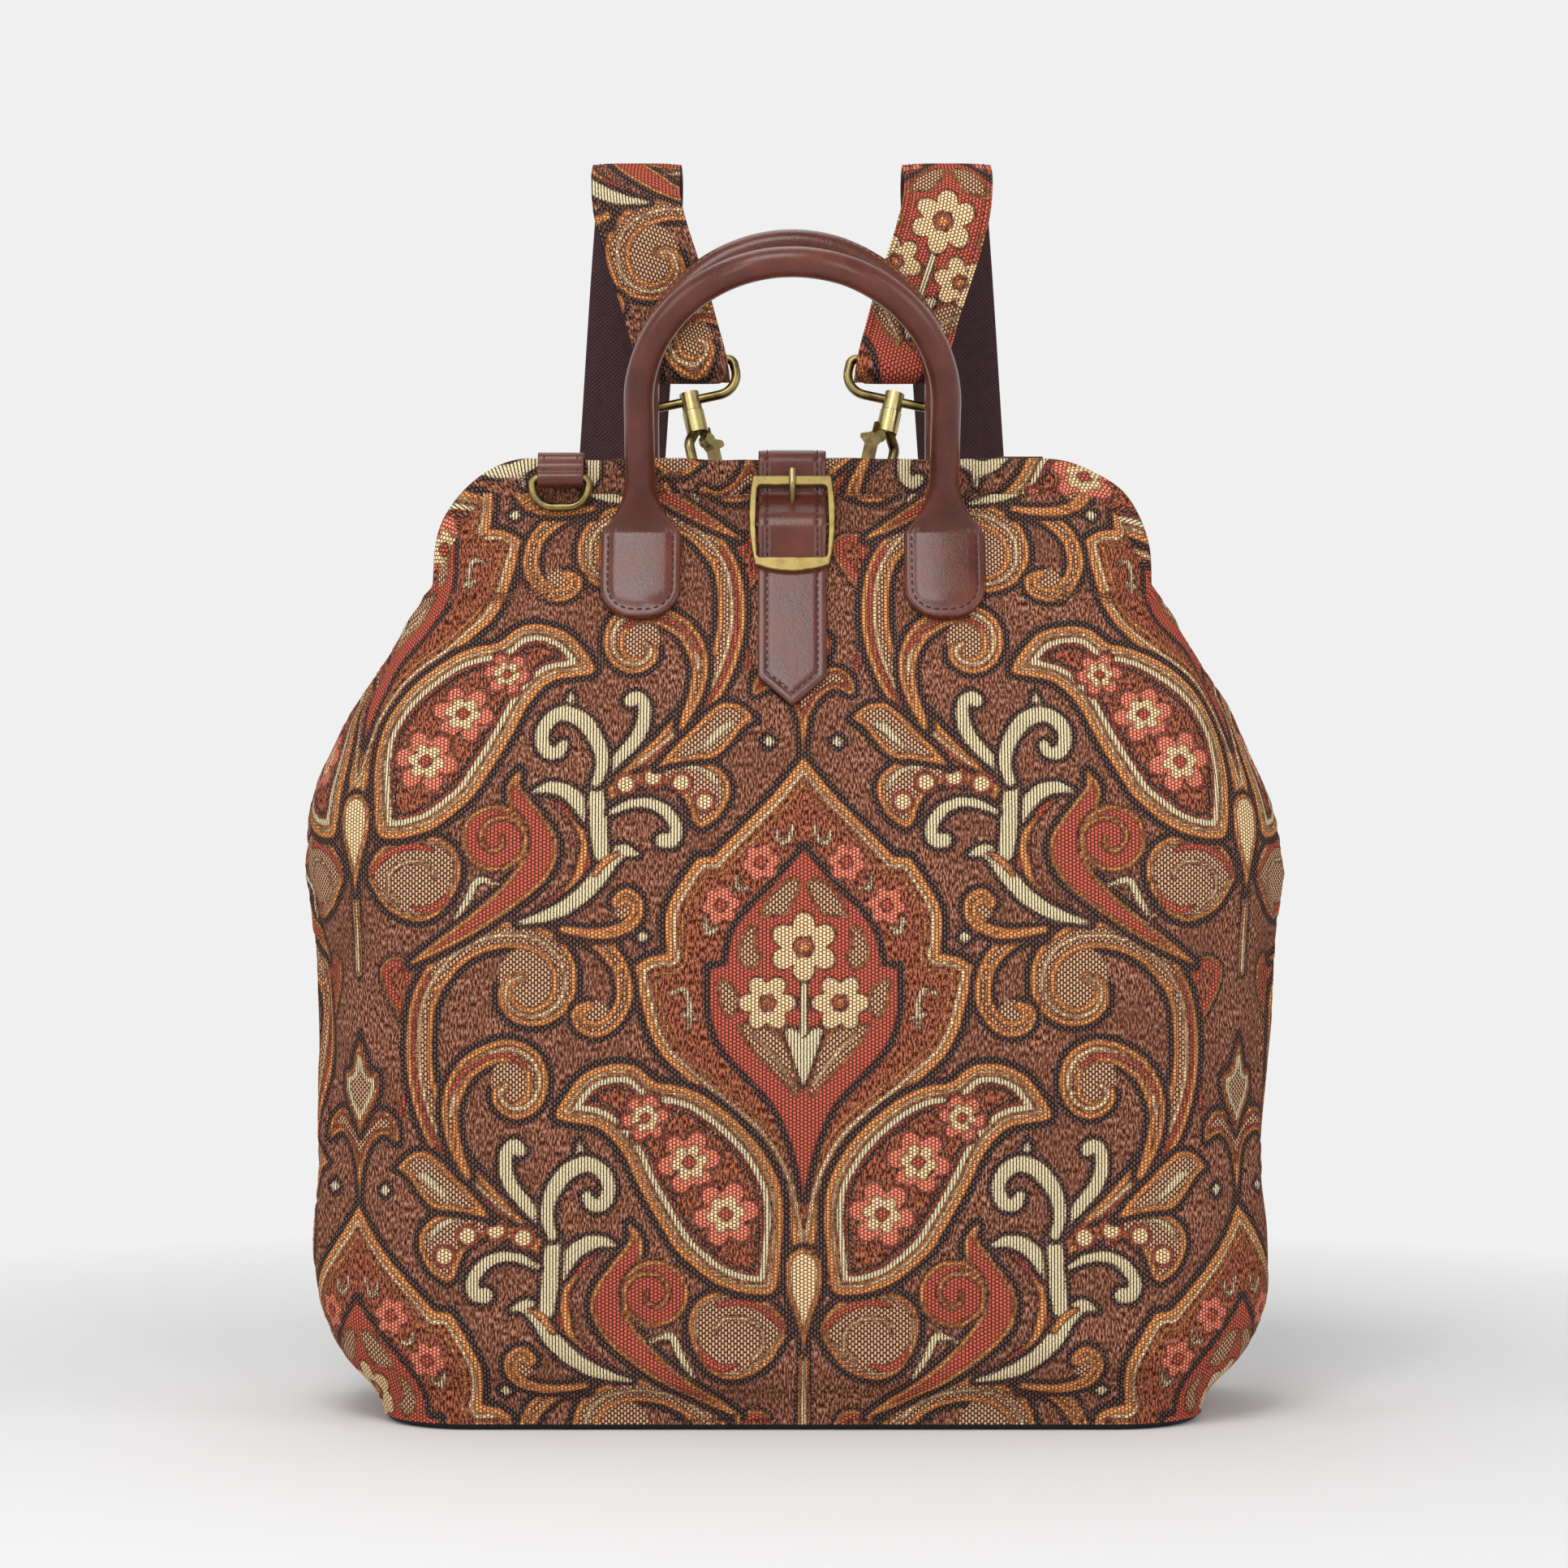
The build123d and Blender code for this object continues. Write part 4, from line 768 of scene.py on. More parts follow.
# places along the cloth where folds start and stop; with them sizes, then spreads or waves
creases = {
    "foot": (8, 60), "top": (250, 310), "bellyHalf": 190, "dent": 170, "ends": (105, 150),
    "shoulder": (318, 42), "rimEnd": (148, 342), "fan": .35, "pleatWave": 9.5, "pleatFoot": (235, 300),
    "crumple": (1.2, 60), "sides": (165, 225), "sideWave": (2.0, 31, 1.1), "hemDent": (1.6, 12, 9),
    "hemEnds": (60, 150), "most": 2.8, "mostFade": (262, 292), "least": -6.0, "calm": .96,
    "leatherHalf": 92, "leatherFade": 14, "leatherFoot": (284, 300), "seamFade": 8, "edgeFade": 6}


def foldDepth(z, u, style):
    # shallow dents, the pull of the handles, and pleats that run down from the ends of the rim
    wide, flat = np.abs(u), np.stack([u, z], -1)
    low = ramp(z, *creases["foot"]) * (1 - ramp(z, *creases["top"]))
    depth = style["belly"] * low * np.cos(np.clip(u / creases["bellyHalf"], -1, 1) * math.pi / 2)
    depth += style["dimple"] * low * ripple(flat, creases["dent"], style["seed"], 2)
    at, spread = creases["shoulder"]
    shoulder = bell(z - at, spread) * ramp(wide, *creases["ends"])
    endU, endZ = creases["rimEnd"]
    fan = wide - endU + (endZ - z) * creases["fan"]
    pleats = .5 + .5 * np.cos(fan / creases["pleatWave"])
    depth -= style["pleat"] * shoulder * pleats * ramp(z, *creases["pleatFoot"])
    size, wave = creases["crumple"]
    depth += size * shoulder * ripple(flat, wave, style["seed"] + 1, 2)
    size, wave, turn = creases["sideWave"]
    depth += size * ramp(wide, *creases["sides"]) * low * np.sin(z / wave + np.sign(u) * turn)
    size, at, spread = creases["hemDent"]
    return depth - size * bell(z - at, spread) * ramp(wide, *creases["hemEnds"])


puffRule = {
    "quality": 5, "mass": .25, "air_damping": 4.0, "tension_stiffness": 12.0, "compression_stiffness": 12.0,
    "shear_stiffness": 4.0, "bending_stiffness": 1.2, "shrink_min": -.001, "vertex_group_mass": "sewn",
    "use_pressure": True, "uniform_pressure_force": .6}
puffing = {"gravity": .35, "frames": 20, "heldRise": 285, "heldHalf": 95}


def puff(grid, side, most):
    # cloth pinned along its seams swells a little over what is inside
    rows, cols = (np.unique(np.r_[np.arange(0, n, body["coarse"]), n - 1]) for n in grid.shape[:2])
    coarse = grid[np.ix_(rows, cols)]
    mesh = gridMesh("puffCloth", coarse)
    cloth = bpy.data.objects.new("puffCloth", mesh)
    scene.collection.objects.link(cloth)
    held = (coarse[..., 2] > puffing["heldRise"]) & (np.abs(coarse[..., 0]) < puffing["heldHalf"])
    held[:2] = held[-6:] = held[:, :2] = held[:, -2:] = True
    group = cloth.vertex_groups.new(name="sewn")
    group.add(np.where(held.ravel())[0].tolist(), 1.0, "REPLACE")
    soft = cloth.modifiers.new("puff", "CLOTH")
    for key, value in puffRule.items():
        setattr(soft.settings, key, value)
    soft.settings.effector_weights.gravity = puffing["gravity"]
    soft.collision_settings.use_collision = False
    soft.point_cache.frame_start, soft.point_cache.frame_end = 1, puffing["frames"]
    for step in range(1, puffing["frames"] + 1):
        scene.frame_set(step)
    done = cloth.evaluated_get(bpy.context.evaluated_depsgraph_get()).to_mesh()
    moved = meshPoints(done).reshape(coarse.shape) - coarse
    bpy.data.objects.remove(cloth)
    bpy.data.meshes.remove(mesh)
    scene.frame_set(1)
    size = np.linalg.norm(moved, axis=-1, keepdims=True)
    print("puff", side, "moved at most", round(float(size.max()), 1), "mm")
    return moved * np.minimum(1, most / np.maximum(size, 1e-6)), rows, cols


def easeWeights(count, knots):
    # cubic weights from the coarse rows to every row
    k = len(knots)
    out = np.zeros((count, k))
    for i in range(count):
        j = min(max(int(np.searchsorted(knots, i, "right")) - 1, 0), k - 2)
        t = (i - knots[j]) / (knots[j + 1] - knots[j])
        for n, w in ((j - 1, -.5 * t + t * t - .5 * t ** 3), (j, 1 - 2.5 * t * t + 1.5 * t ** 3),
                     (j + 1, .5 * t + 2 * t * t - 1.5 * t ** 3), (j + 2, -.5 * t * t + .5 * t ** 3)):
            out[i, min(max(n, 0), k - 1)] += w
    return out


def softPanel(side, style):
    grid, u, v = bodyGrid(side)
    z, normals = grid[..., 2], gridNormals(grid)
    depth = foldDepth(z, u, style)
    moved, rows, cols = puff(grid, side, style["swell"])
    weights = easeWeights(grid.shape[0], rows), easeWeights(grid.shape[1], cols)
    full = np.einsum("ri,ijk,cj->rck", weights[0], moved, weights[1])
    depth = depth + (full * normals).sum(-1)
    depth = np.minimum(depth, creases["most"] * (1 - ramp(z, *creases["mostFade"])))
    beside = np.maximum(np.abs(grid[..., 0]) - creases["leatherHalf"], 0)
    still = bell(beside, creases["leatherFade"]) * ramp(z, *creases["leatherFoot"])
    depth = np.maximum(depth * (1 - creases["calm"] * still), creases["least"])
    last = np.abs(u[:, -1:])
    ends = ramp(np.abs(u), last - .01, last - creases["seamFade"])
    fade = creases["edgeFade"]
    tip = ramp(z, body["foot"], body["foot"] + fade) * ramp(z, body["seam"], body["seam"] - fade)
    return grid + normals * (depth * ends * tip)[..., None], u, v


def panelPiece(name, side, style, node, shiftU, shiftV):
    grid, u, v = softPanel(side, style)
    normals = gridNormals(grid)
    # one more row and column all round: the hem under the base, the edge under the rim, the side seams
    wide = np.pad(u, 1, mode="edge") * -side + shiftU
    tall = np.pad(v, 1, mode="edge") + shiftV
    tall[0], tall[-1] = tall[0] - body["hem"], tall[-1] + body["tuck"]
    gaps = weaveDamask(wide.ravel(), tall.ravel())
    relief = damaskRelief(gaps).reshape(wide.shape)[1:-1, 1:-1]
    # the cloth lies flat and a little deeper where leather is sewn on it
    free = 1 - ramp(grid[..., 2], *body["seatRise"]) * (np.abs(grid[..., 0]) < body["seatHalf"])
    face = grid + normals * (relief * free - body["seatSink"] * (1 - free))[..., None]
    turned = face - normals * body["wall"]
    tucked = face[-1:] + np.array([0, -side * body["tuckIn"], body["tuck"]])
    hem = grid[:1] - np.array([0, 0, body["hem"]])
    full = np.concatenate([hem, face, tucked])
    full = np.concatenate([full[:, :1], full, full[:, -1:]], 1)
    full[1:-1, 0], full[1:-1, -1] = turned[:, 0], turned[:, -1]
    mesh = gridMesh(name, full)
    markCloth(mesh, wide.ravel(), tall.ravel(), gaps)
    addPiece(name, mesh, tapestry, [node])
    print(name, len(mesh.polygons), "faces")
    return grid - normals * (body["wall"] + body["liningGap"])


inner = [panelPiece("frontCloth", -1, folds["front"], "front_panel", -body["axis"], 0.0),
         panelPiece("backCloth", 1, folds["back"], "back_panel", 40.0, 120.0)]
lining = joinMeshes("liningCloth", [gridMesh("liningHalf", half[2:-2:4, 2:-2:4]) for half in inner])
addPiece("liningCloth", lining, liningTwill, ["lining"])
print("body made")


# stitches: a tree that sets one short thread at each step along a path

def stitchTree():
    tree = bpy.data.node_groups.new("stitchRow", "GeometryNodeTree")
    tree.interface.new_socket("Geometry", in_out="INPUT", socket_type="NodeSocketGeometry")
    for name, kind in (("Pitch", "Float"), ("Length", "Float"), ("Radius", "Float"), ("Thread", "Material")):
        tree.interface.new_socket(name, in_out="INPUT", socket_type="NodeSocket" + kind)
    tree.interface.new_socket("Geometry", in_out="OUTPUT", socket_type="NodeSocketGeometry")
    start = addNode(tree, "NodeGroupInput").outputs
    curve = addNode(tree, "GeometryNodeMeshToCurve", {"Mesh": start["Geometry"]})
    points = addNode(tree, "GeometryNodeCurveToPoints", {
        "Curve": curve.outputs[0], "Length": start["Pitch"]}, mode="LENGTH").outputs
    bit = addNode(tree, "GeometryNodeMeshUVSphere", {"Segments": 6, "Rings": 4, "Radius": 1.0})
    size = addNode(tree, "ShaderNodeCombineXYZ", {0: start["Radius"], 1: start["Radius"], 2: start["Length"]})
    thin = addNode(tree, "GeometryNodeTransform", {"Geometry": bit.outputs[0], "Scale": size.outputs[0]})
    row = addNode(tree, "GeometryNodeInstanceOnPoints", {
        "Points": points["Points"], "Instance": thin.outputs[0], "Rotation": points["Rotation"]})
    real = addNode(tree, "GeometryNodeRealizeInstances", {0: row.outputs[0]})
    dyed = addNode(tree, "GeometryNodeSetMaterial", {"Geometry": real.outputs[0], "Material": start["Thread"]})
    stop = addNode(tree, "NodeGroupOutput")
    tree.links.new(dyed.outputs[0], stop.inputs[0])
    return tree


stitchRow = stitchTree()


def stitches(name, paths, material, pitch=3.4, length=2.3, radius=.38):
    points, edges = [], []
    for path in paths:
        first = len(points)
        points += [tuple(p * mm) for p in np.asarray(path)]
        edges += [(first + i, first + i + 1) for i in range(len(path) - 1)]
    mesh = bpy.data.meshes.new(name + "Path")
    mesh.from_pydata(points, edges, [])
    holder = bpy.data.objects.new(name + "Path", mesh)
    scene.collection.objects.link(holder)
    rows = holder.modifiers.new("stitches", "NODES")
    rows.node_group = stitchRow
    values = {"Pitch": pitch * mm, "Length": length / 2 * mm, "Radius": radius * mm, "Thread": material}
    for item in stitchRow.interface.items_tree:
        if item.in_out == "INPUT" and item.name in values:
            rows[item.identifier] = values[item.name]
    holder.update_tag()
    bpy.context.view_layer.update()
    graph = bpy.context.evaluated_depsgraph_get()
    sewn = bpy.data.meshes.new_from_object(holder.evaluated_get(graph))
    holder.modifiers.remove(rows)
    bpy.data.objects.remove(holder)
    bpy.data.meshes.remove(mesh)
    sewn.name = name
    sewn.shade_smooth()
    addPiece(name, sewn, material)


# the sloping shoulder of the bag, which carries the leather

slope = {"rise": .4602, "seam": 378.0, "depth": 15.5, "gap": .3}
slopeAngle = math.atan(slope["rise"])


def slopeSeat(side, height):
    foot = np.array([0, side * (slope["depth"] + (slope["seam"] - height) * slope["rise"]), height])
    normal = np.array([0, side * math.cos(slopeAngle), math.sin(slopeAngle)])
    along = np.array([-side, 0, 0.0])
    return foot, along, np.cross(normal, along), normal


# rolled handles with flat sewn ends

handle = {
    "halfSpan": 62.5, "tube": 6.1, "seamTurn": .75, "seamSink": .1, "seamEnd": .12, "flare": 17.0, "tabHalf": 16.5,
    "tabLength": 43.0, "tabThick": 4.0, "corner": 14.0, "inset": 3.1, "dome": 1.0, "domeFade": 4.5, "groove": .55,
    "grooveHalf": .9, "squareA": .28, "squareB": .45, "pinch": .08, "swell": .018, "swellSize": 26, "ring": 40,
    "tip": (.05, .4, 1.0, 1.8), "step": 1.4, "tabStart": 2.8, "blend": 4, "knee": (2, .8), "neck": 5,
    "legStart": 7, "legStep": 2.2}


def tabInset(a, s):
    # how far a place on the flat end lies from its outline, with s up from the rounded foot
    w, r = handle["tabHalf"], handle["corner"]
    dx, dy = np.abs(a) - (w - r), r - s
    corner = r - np.hypot(np.maximum(dx, 0), np.maximum(dy, 0))
    return np.where((dx > 0) & (dy > 0), corner, np.minimum(w - np.abs(a), s))


def handleLine(end, base, seat, up, arch, rise):
    # centre line: flat end, flare, leg, bow and the same mirrored, each place with its own frame
    along, upSlope, normal = seat
    half, length, blend = handle["halfSpan"], handle["tabLength"], handle["blend"]
    leg = []
    for s in np.r_[handle["tip"], np.arange(handle["tabStart"], length - blend, handle["step"])]:
        leg.append((end + upSlope * (s - length), upSlope, normal, s, 0.0))
    tail, head = leg[-1][0], end + up * (handle["flare"] + handle["neck"])
    knee = end + upSlope * handle["knee"][0] + normal * handle["knee"][1]
    for t in np.linspace(0, 1, 20)[1:]:
        bend = (1 - t) ** 2 * tail + 2 * t * (1 - t) * knee + t * t * head
        out = unit((1 - t) * normal + t * arch)
        leg.append((bend, unit((1 - t) * upSlope + t * up), out, length - blend + blend * t, t * t * (3 - 2 * t)))
    for s in np.arange(handle["flare"] + handle["legStart"], rise - 1, handle["legStep"]):
        leg.append((end + up * s, up, arch, length, 1.0))
    bow = []
    for angle in np.linspace(0, math.pi, 70):
        bow.append((base + up * (rise + half * math.sin(angle)) - along * half * math.cos(angle),
                    up * math.cos(angle) + along * math.sin(angle), arch, length, 1.0))

    def mirrored(p):
        return p - 2 * along * (p @ along)
    return leg + bow + [(base + mirrored(p - base), -mirrored(way), n, s, k) for p, way, n, s, k in leg[::-1]]


def handlePiece(name, node, side, height, lean, rise, seed):
    foot, along, upSlope, normal = slopeSeat(side, height)
    tilt = math.radians(lean)
    up = np.array([0, side * math.sin(tilt), math.cos(tilt)])
    arch = np.cross(along, up)
    base = foot + normal * (slope["gap"] + handle["tabThick"] / 2)
    half, r, tube = handle["halfSpan"], handle["corner"], handle["tube"]
    spots = handleLine(base - along * half, base, (along, upSlope, normal), up, arch, rise)
    phi = np.linspace(0, 2 * math.pi, handle["ring"], endpoint=False)
    cos, sin = np.cos(phi), np.sin(phi)
    rings = []
    for p, way, out, s, k in spots:
        w = handle["tabHalf"]
        if s < r:
            w = w - r + math.sqrt(max(r ** 2 - (r - s) ** 2, 0))
        flatA = np.sign(cos) * np.abs(cos) ** handle["squareA"] * w
        flatB = np.sign(sin) * np.abs(sin) ** handle["squareB"] * handle["tabThick"] / 2
        inset = tabInset(flatA, s)
        dome = handle["dome"] * (1 - np.exp(-np.maximum(inset, 0) / handle["domeFade"]))
        groove = handle["groove"] * bell(inset - handle["inset"], handle["grooveHalf"])
        flatB = flatB + (sin > 0) * (dome - groove)
        a = (flatA * (1 - k) + cos * tube * k) * (1 - handle["pinch"] * math.sin(math.pi * k))
        b = flatB * (1 - k) + sin * tube * k
        rings.append(p + unit(np.cross(way, out)) * a[:, None] + out * b[:, None])
    grid = np.array(rings)
    middle = grid.mean(1, keepdims=True)
    rolled = np.array([spot[4] for spot in spots])[:, None]
    swell = 1 + handle["swell"] * ripple(grid, handle["swellSize"], seed, 3) * rolled
    grid = middle + (grid - middle) * swell[..., None]
    addPiece(name, gridMesh(name, grid, closedU=True, caps=True), leather, [node])
    # seam on the mouth side of the roll
    far = half + (tube - handle["seamSink"]) * math.cos(handle["seamTurn"])
    near = arch * (tube - handle["seamSink"]) * math.sin(handle["seamTurn"])
    seam = [base + up * (rise + far * math.sin(t)) - along * far * math.cos(t) - near
            for t in np.linspace(handle["seamEnd"], math.pi - handle["seamEnd"], 60)]
    return (foot, along, upSlope, normal), evenLine(seam, .8)


def tabStitchPath(seat, x):
    foot, along, upSlope, normal = seat
    w, r, k, length = (handle[key] for key in ("tabHalf", "corner", "inset", "tabLength"))
    turn = np.linspace(math.pi, 1.5 * math.pi, 12)
    left = [(-(w - k), s) for s in (length - 7, r + 6, r)]
    left += [(-(w - r) + (r - k) * math.cos(t), r + (r - k) * math.sin(t)) for t in turn]
    lift = slope["gap"] + handle["tabThick"] + handle["dome"] * .5 - handle["groove"] + .3
    return evenLine([foot + along * (x + a) + upSlope * (s - length) + normal * lift
                     for a, s in left + [(-a, s) for a, s in left[::-1]]], .8)


# node, side, height of the seat, lean in degrees, rise of the legs and seed
handles = {"frontHandle": ("front_handle", -1, 366, 30, 54.5, 5), "backHandle": ("back_handle", 1, 371, 4, 56, 6)}
handleRows, seamRows = [], []
for name, settings in handles.items():
    seat, seam = handlePiece(name, *settings)
    handleRows += [tabStitchPath(seat, x) for x in (-handle["halfSpan"], handle["halfSpan"])]
    seamRows.append(seam)
stitches("handleStitches", handleRows, thread)
stitches("handleSeams", seamRows, handleThread, pitch=3.0, length=2.0, radius=.3)
print("handles made")


# closing strap: from the back, over the rim, through the buckle to its point

closing = {
    "route": ((34.64, 340), (16.5, 379.415), (16.5, 397.5), (-16.5, 397.5), (-16.5, 379.415), (-27.01, 369.97),
              (-28.85, 365.97), (-29.03, 352.18), (-56.73, 292)),
    "halfWidth": 14.0, "half": 1.2, "point": 13.0, "tip": .4, "radius": 5.0, "step": 1.3, "inset": 3.6,
    "groove": .35, "crown": .25, "worn": .45, "sewnFrom": 4, "stitchLift": .02}


def closingPiece():
    line = roundedLine([(0, y, z) for y, z in closing["route"]], closing["radius"], closing["step"])
    across, inward = flatFrame(line, (1, 0, 0))
    run = runAlong(line)
    left = run[-1] - run
    half, lean = closing["halfWidth"], closing["halfWidth"] / closing["point"]
    wide = np.clip(closing["tip"] + left * lean, 0, half)
    slant = math.hypot(1, lean)

    def crown(i, a):
        inset = np.minimum(half - np.abs(a), (left[i] * lean + closing["tip"] - np.abs(a)) / slant)
        groove = closing["groove"] * bell(inset - closing["inset"], .7)
        return closing["crown"] * (1 - np.exp(-np.maximum(inset, 0) / 2.5)) - groove - closing["worn"] * bell(inset, .5)
    mesh = bandMesh("closingStrap", line, across, -inward, wide, -closing["half"], closing["half"], crown, count=41)
    addPiece("closingStrap", mesh, leather, ["closure_strap"])
    lift = closing["half"] + closing["stitchLift"]
    tipCut = closing["inset"] * slant / lean
    sewn = (left >= tipCut) & (run > closing["sewnFrom"])
    reach = np.clip((left - tipCut) * lean, 0, half - closing["inset"])[:, None]
    rows = [evenLine((line + across * (s * reach) - inward * lift)[sewn], .8) for s in (-1, 1)]
    stitches("closingStitches", rows, thread, pitch=3.2, length=2.2)


closingPiece()
print("closing strap made")


# rim casings

rim = {
    "legHalf": 141.0, "hinge": 342.0, "mid": 387.0, "depth": 9.0, "bend": 35.0, "halfDepth": 6.0, "halfWidth": 9.0,
    "step": 1.6, "round": 40, "square": .62, "pucker": .5, "puckerWave": 2.6, "drift": 1.5, "driftWave": 17,
    "puckerHalf": .6, "dent": .8, "dentSize": 38, "sink": .6}


def casingPiece(name, node, side, shiftU, shiftV, seed):
    y, leg = side * rim["depth"], rim["legHalf"]
    line = roundedLine([(-leg, y, rim["hinge"]), (-leg, y, rim["mid"]), (leg, y, rim["mid"]), (leg, y, rim["hinge"])],
                       rim["bend"], rim["step"])
    out = flatFrame(line, (0, -1, 0))[1]
    phi = np.linspace(0, 2 * math.pi, rim["round"], endpoint=False)
    a, b = (np.sign(wave) * np.abs(wave) ** rim["square"] * size for wave, size in (
        (np.cos(phi), rim["halfWidth"]), (np.sin(phi), rim["halfDepth"])))
    grid = line[:, None] + out[:, None] * a[:, None] + np.array([0, side, 0.0]) * b[:, None]
    run, girth = runAlong(line), runAlong(np.stack([a, b], 1))
    drift = rim["drift"] * np.sin(run / rim["driftWave"])
    pucker = np.sin(run / rim["puckerWave"] + drift)[:, None] * bell(np.cos(phi) + 1, rim["puckerHalf"])
    height = rim["pucker"] * pucker + rim["dent"] * ripple(grid, rim["dentSize"], seed, 2) - rim["sink"]
    grid = grid + unit(grid - line[:, None]) * height[..., None]
    if side < 0:
        grid, girth = grid[:, ::-1], girth[::-1]
    mesh = gridMesh(name, grid, closedU=True, caps=True)
    u, v = np.repeat(run + shiftU, rim["round"]), np.tile(girth + shiftV, len(run))
    markCloth(mesh, u, v, weaveDamask(u, v))
    piece = addPiece(name, mesh, tapestry, [node])


casingPiece("frontCasing", "front_casing", -1, 31.0, 96.0, 31)
casingPiece("backCasing", "back_casing", 1, 77.0, 40.0, 32)
print("casings made")


# shoulder straps: webbing with a tapestry face on the outside

strap = {
    "route": ((47.1, 37.7, 440.3), (53.6, 40.9, 465), (59.9, 40.4, 484.7), (63.1, 40.1, 494.5), (66.5, 42.4, 508.3),
              (67.5, 50, 520.4), (67, 62.7, 526.8), (66.6, 76, 522), (67.2, 82.4, 509.5), (69.2, 86.5, 484.1),
              (71.5, 92, 453.7), (74.1, 98.8, 418.2), (76.8, 105.2, 382.7), (79.7, 110.3, 347), (82.9, 112.9, 311.1),
              (87.2, 111.5, 270), (91.7, 106.5, 229.2), (96.9, 98.9, 178.4), (101.1, 92.8, 127.2)),
    "half": 19.0, "step": 2.2, "webThick": 1.8, "faceThick": 2.2, "faceGap": .1, "faceFrom": .008, "faceTo": .64,
    # middle, axis and upward direction of the hook eye at each end
    "eyes": (((46.56, 37.26, 438.02), (.976, -.045, -.212), (.216, .203, .955)),
             ((101.28, 92.63, 124.9), (.998, .006, .069), (-.07, .087, .994))),
    "loopIn": 2.3, "loopOut": 4.1, "loopCount": 40, "wrap": (118, 100, 80, 60, 40, 20, 0), "wrapGap": .05,
    "inset": 3.0, "ease": 14.0, "clear": 18.0, "faceStep": 1.5, "stitchLift": .12, "sewnFrom": 8,
    "pattern": {"left": (110.0, 118.0), "right": (0.0, 116.0)}}


def strapCrown(i, a):
    inset = strap["half"] - np.abs(a)
    raised = .5 * (1 - np.exp(-np.maximum(inset - 1, 0) / 4))
    return raised - .5 * bell(inset - strap["inset"], 1.0) - .3 * bell(inset, .9)


def webbingPiece(hand, side, line):
    way, across, out = twistedFrame(line)
    half, count = strap["half"], strap["loopCount"]
    webs = [bandMesh("web", line, across, out, [half] * len(line), -strap["webThick"], 0)]
    turn = np.linspace(0, 2 * math.pi, count, endpoint=False)[:, None]
    flip = np.array([hand, 1, 1.0])
    for eye in strap["eyes"]:
        middle, axis, up = np.array(eye) * flip
        axis, up = unit(axis) * hand, unit(up)
        rays = up * np.cos(turn) + np.cross(axis, up) * np.sin(turn)
        webs.append(bandMesh("loop", [middle] * count, [axis] * count, rays, [half] * count,
                             strap["loopIn"], strap["loopOut"], closed=True))
    mesh = joinMeshes(side + "Webbing", webs)
    flat = meshPoints(mesh)
    spot = np.abs(flat[:, None, 1:] - line[None, ::3, 1:]).sum(-1).argmin(1) * 3
    offset = flat - line[spot]
    markCloth(mesh, (offset * across[spot]).sum(1), runAlong(line)[spot] + (offset * way[spot]).sum(1))
    addPiece(side + "Webbing", mesh, webbing, [side + "_strap_webbing"])


def strapFace(hand, side, line):
    # the face starts under the end loop and comes up over it
    way, across, out = twistedFrame(line)
    run = runAlong(line)
    middle = np.array(strap["eyes"][0][0]) * np.array([hand, 1, 1.0])
    ray = strap["loopOut"] + strap["wrapGap"]
    wrap = [middle + ray * (out[0] * math.cos(t) - way[0] * math.sin(t)) for t in np.radians(strap["wrap"])]
    rise = (line + out * ray * (1 - ramp(run, 1.0, strap["ease"]))[:, None])[1:][run[1:] < strap["clear"]]
    share = run / run[-1]
    flat = line[(run >= strap["clear"]) & (share >= strap["faceFrom"]) & (share <= strap["faceTo"])]
    fine = evenLine(smoothLine(np.vstack([wrap, rise, flat]), steps=3), strap["faceStep"])
    way, across, out = twistedFrame(fine)
    half, low, high = strap["half"], strap["faceGap"], strap["faceGap"] + strap["faceThick"]
    face = bandMesh(side + "StrapFace", fine, across, out, [half] * len(fine), low, high, strapCrown, count=29)
    a = ((meshPoints(face).reshape(len(fine), -1, 3) - fine[:, None]) * across[:, None]).sum(-1)
    shiftU, shiftV = strap["pattern"][side]
    u, v = (a + shiftU).ravel(), np.repeat(runAlong(fine) + shiftV, a.shape[1])
    markCloth(face, u, v, weaveDamask(u, v))
    addPiece(side + "StrapFace", face, tapestry, [side + "_strap_face"])
    reach, lift = half - strap["inset"], high + strap["stitchLift"]
    rows = [evenLine((fine + across * (s * reach) + out * lift)[strap["sewnFrom"]:-1], .9) for s in (-1, 1)]
    stitches(side + "StrapStitches", rows, goldThread, pitch=3.2, length=2.2, radius=.3)


for hand, side in ((-1, "left"), (1, "right")):
    route = evenLine(smoothLine(np.array(strap["route"]) * np.array([hand, 1, 1.0]), steps=8), strap["step"])
    webbingPiece(hand, side, route)
    strapFace(hand, side, route)
print("shoulder straps made")


# leather loops that hold the rings, on the wall and on the rim

loops = {
    "half": 9.5, "ply": 1.5, "ring": 3.6, "mid": 2.8, "tail": 30.0, "under": .78, "step": .8, "stitchInset": 2.6,
    "over": ((-4.6, 2.9), (-8.5, 2.34), (-14, 2.3), (-29.4, 2.3)), "box": (-8.5, -27.4), "boxLift": 3.12,
    "topSeat": 375, "topX": 35.0, "lowSeat": (105.0, 77.5, 62)}
rimLoops = {
    "x": 96.0, "face": 15.3, "bar": 386.5, "top": 396.3, "sewnFace": 1.6, "sewnFoot": 3.2, "stitchOut": (.72, .2),
    "fold": ((-7.6, .8), (-2.5, .8), (.8, .3), (2.2, -1.6), (2.5, -4))}


def loopBand(name, node, line, along, groove, count):
    across, out = flatFrame(line, along)

    def crown(i, a):
        inset = loops["half"] - np.abs(a)
        return -groove * bell(inset - loops["stitchInset"], .6) - .3 * bell(inset, .5)
    ply = loops["ply"] / 2
    mesh = bandMesh(name, line, across, out, [loops["half"]] * len(line), -ply, ply, crown, count=count)
    addPiece(name, mesh, leather, [node])


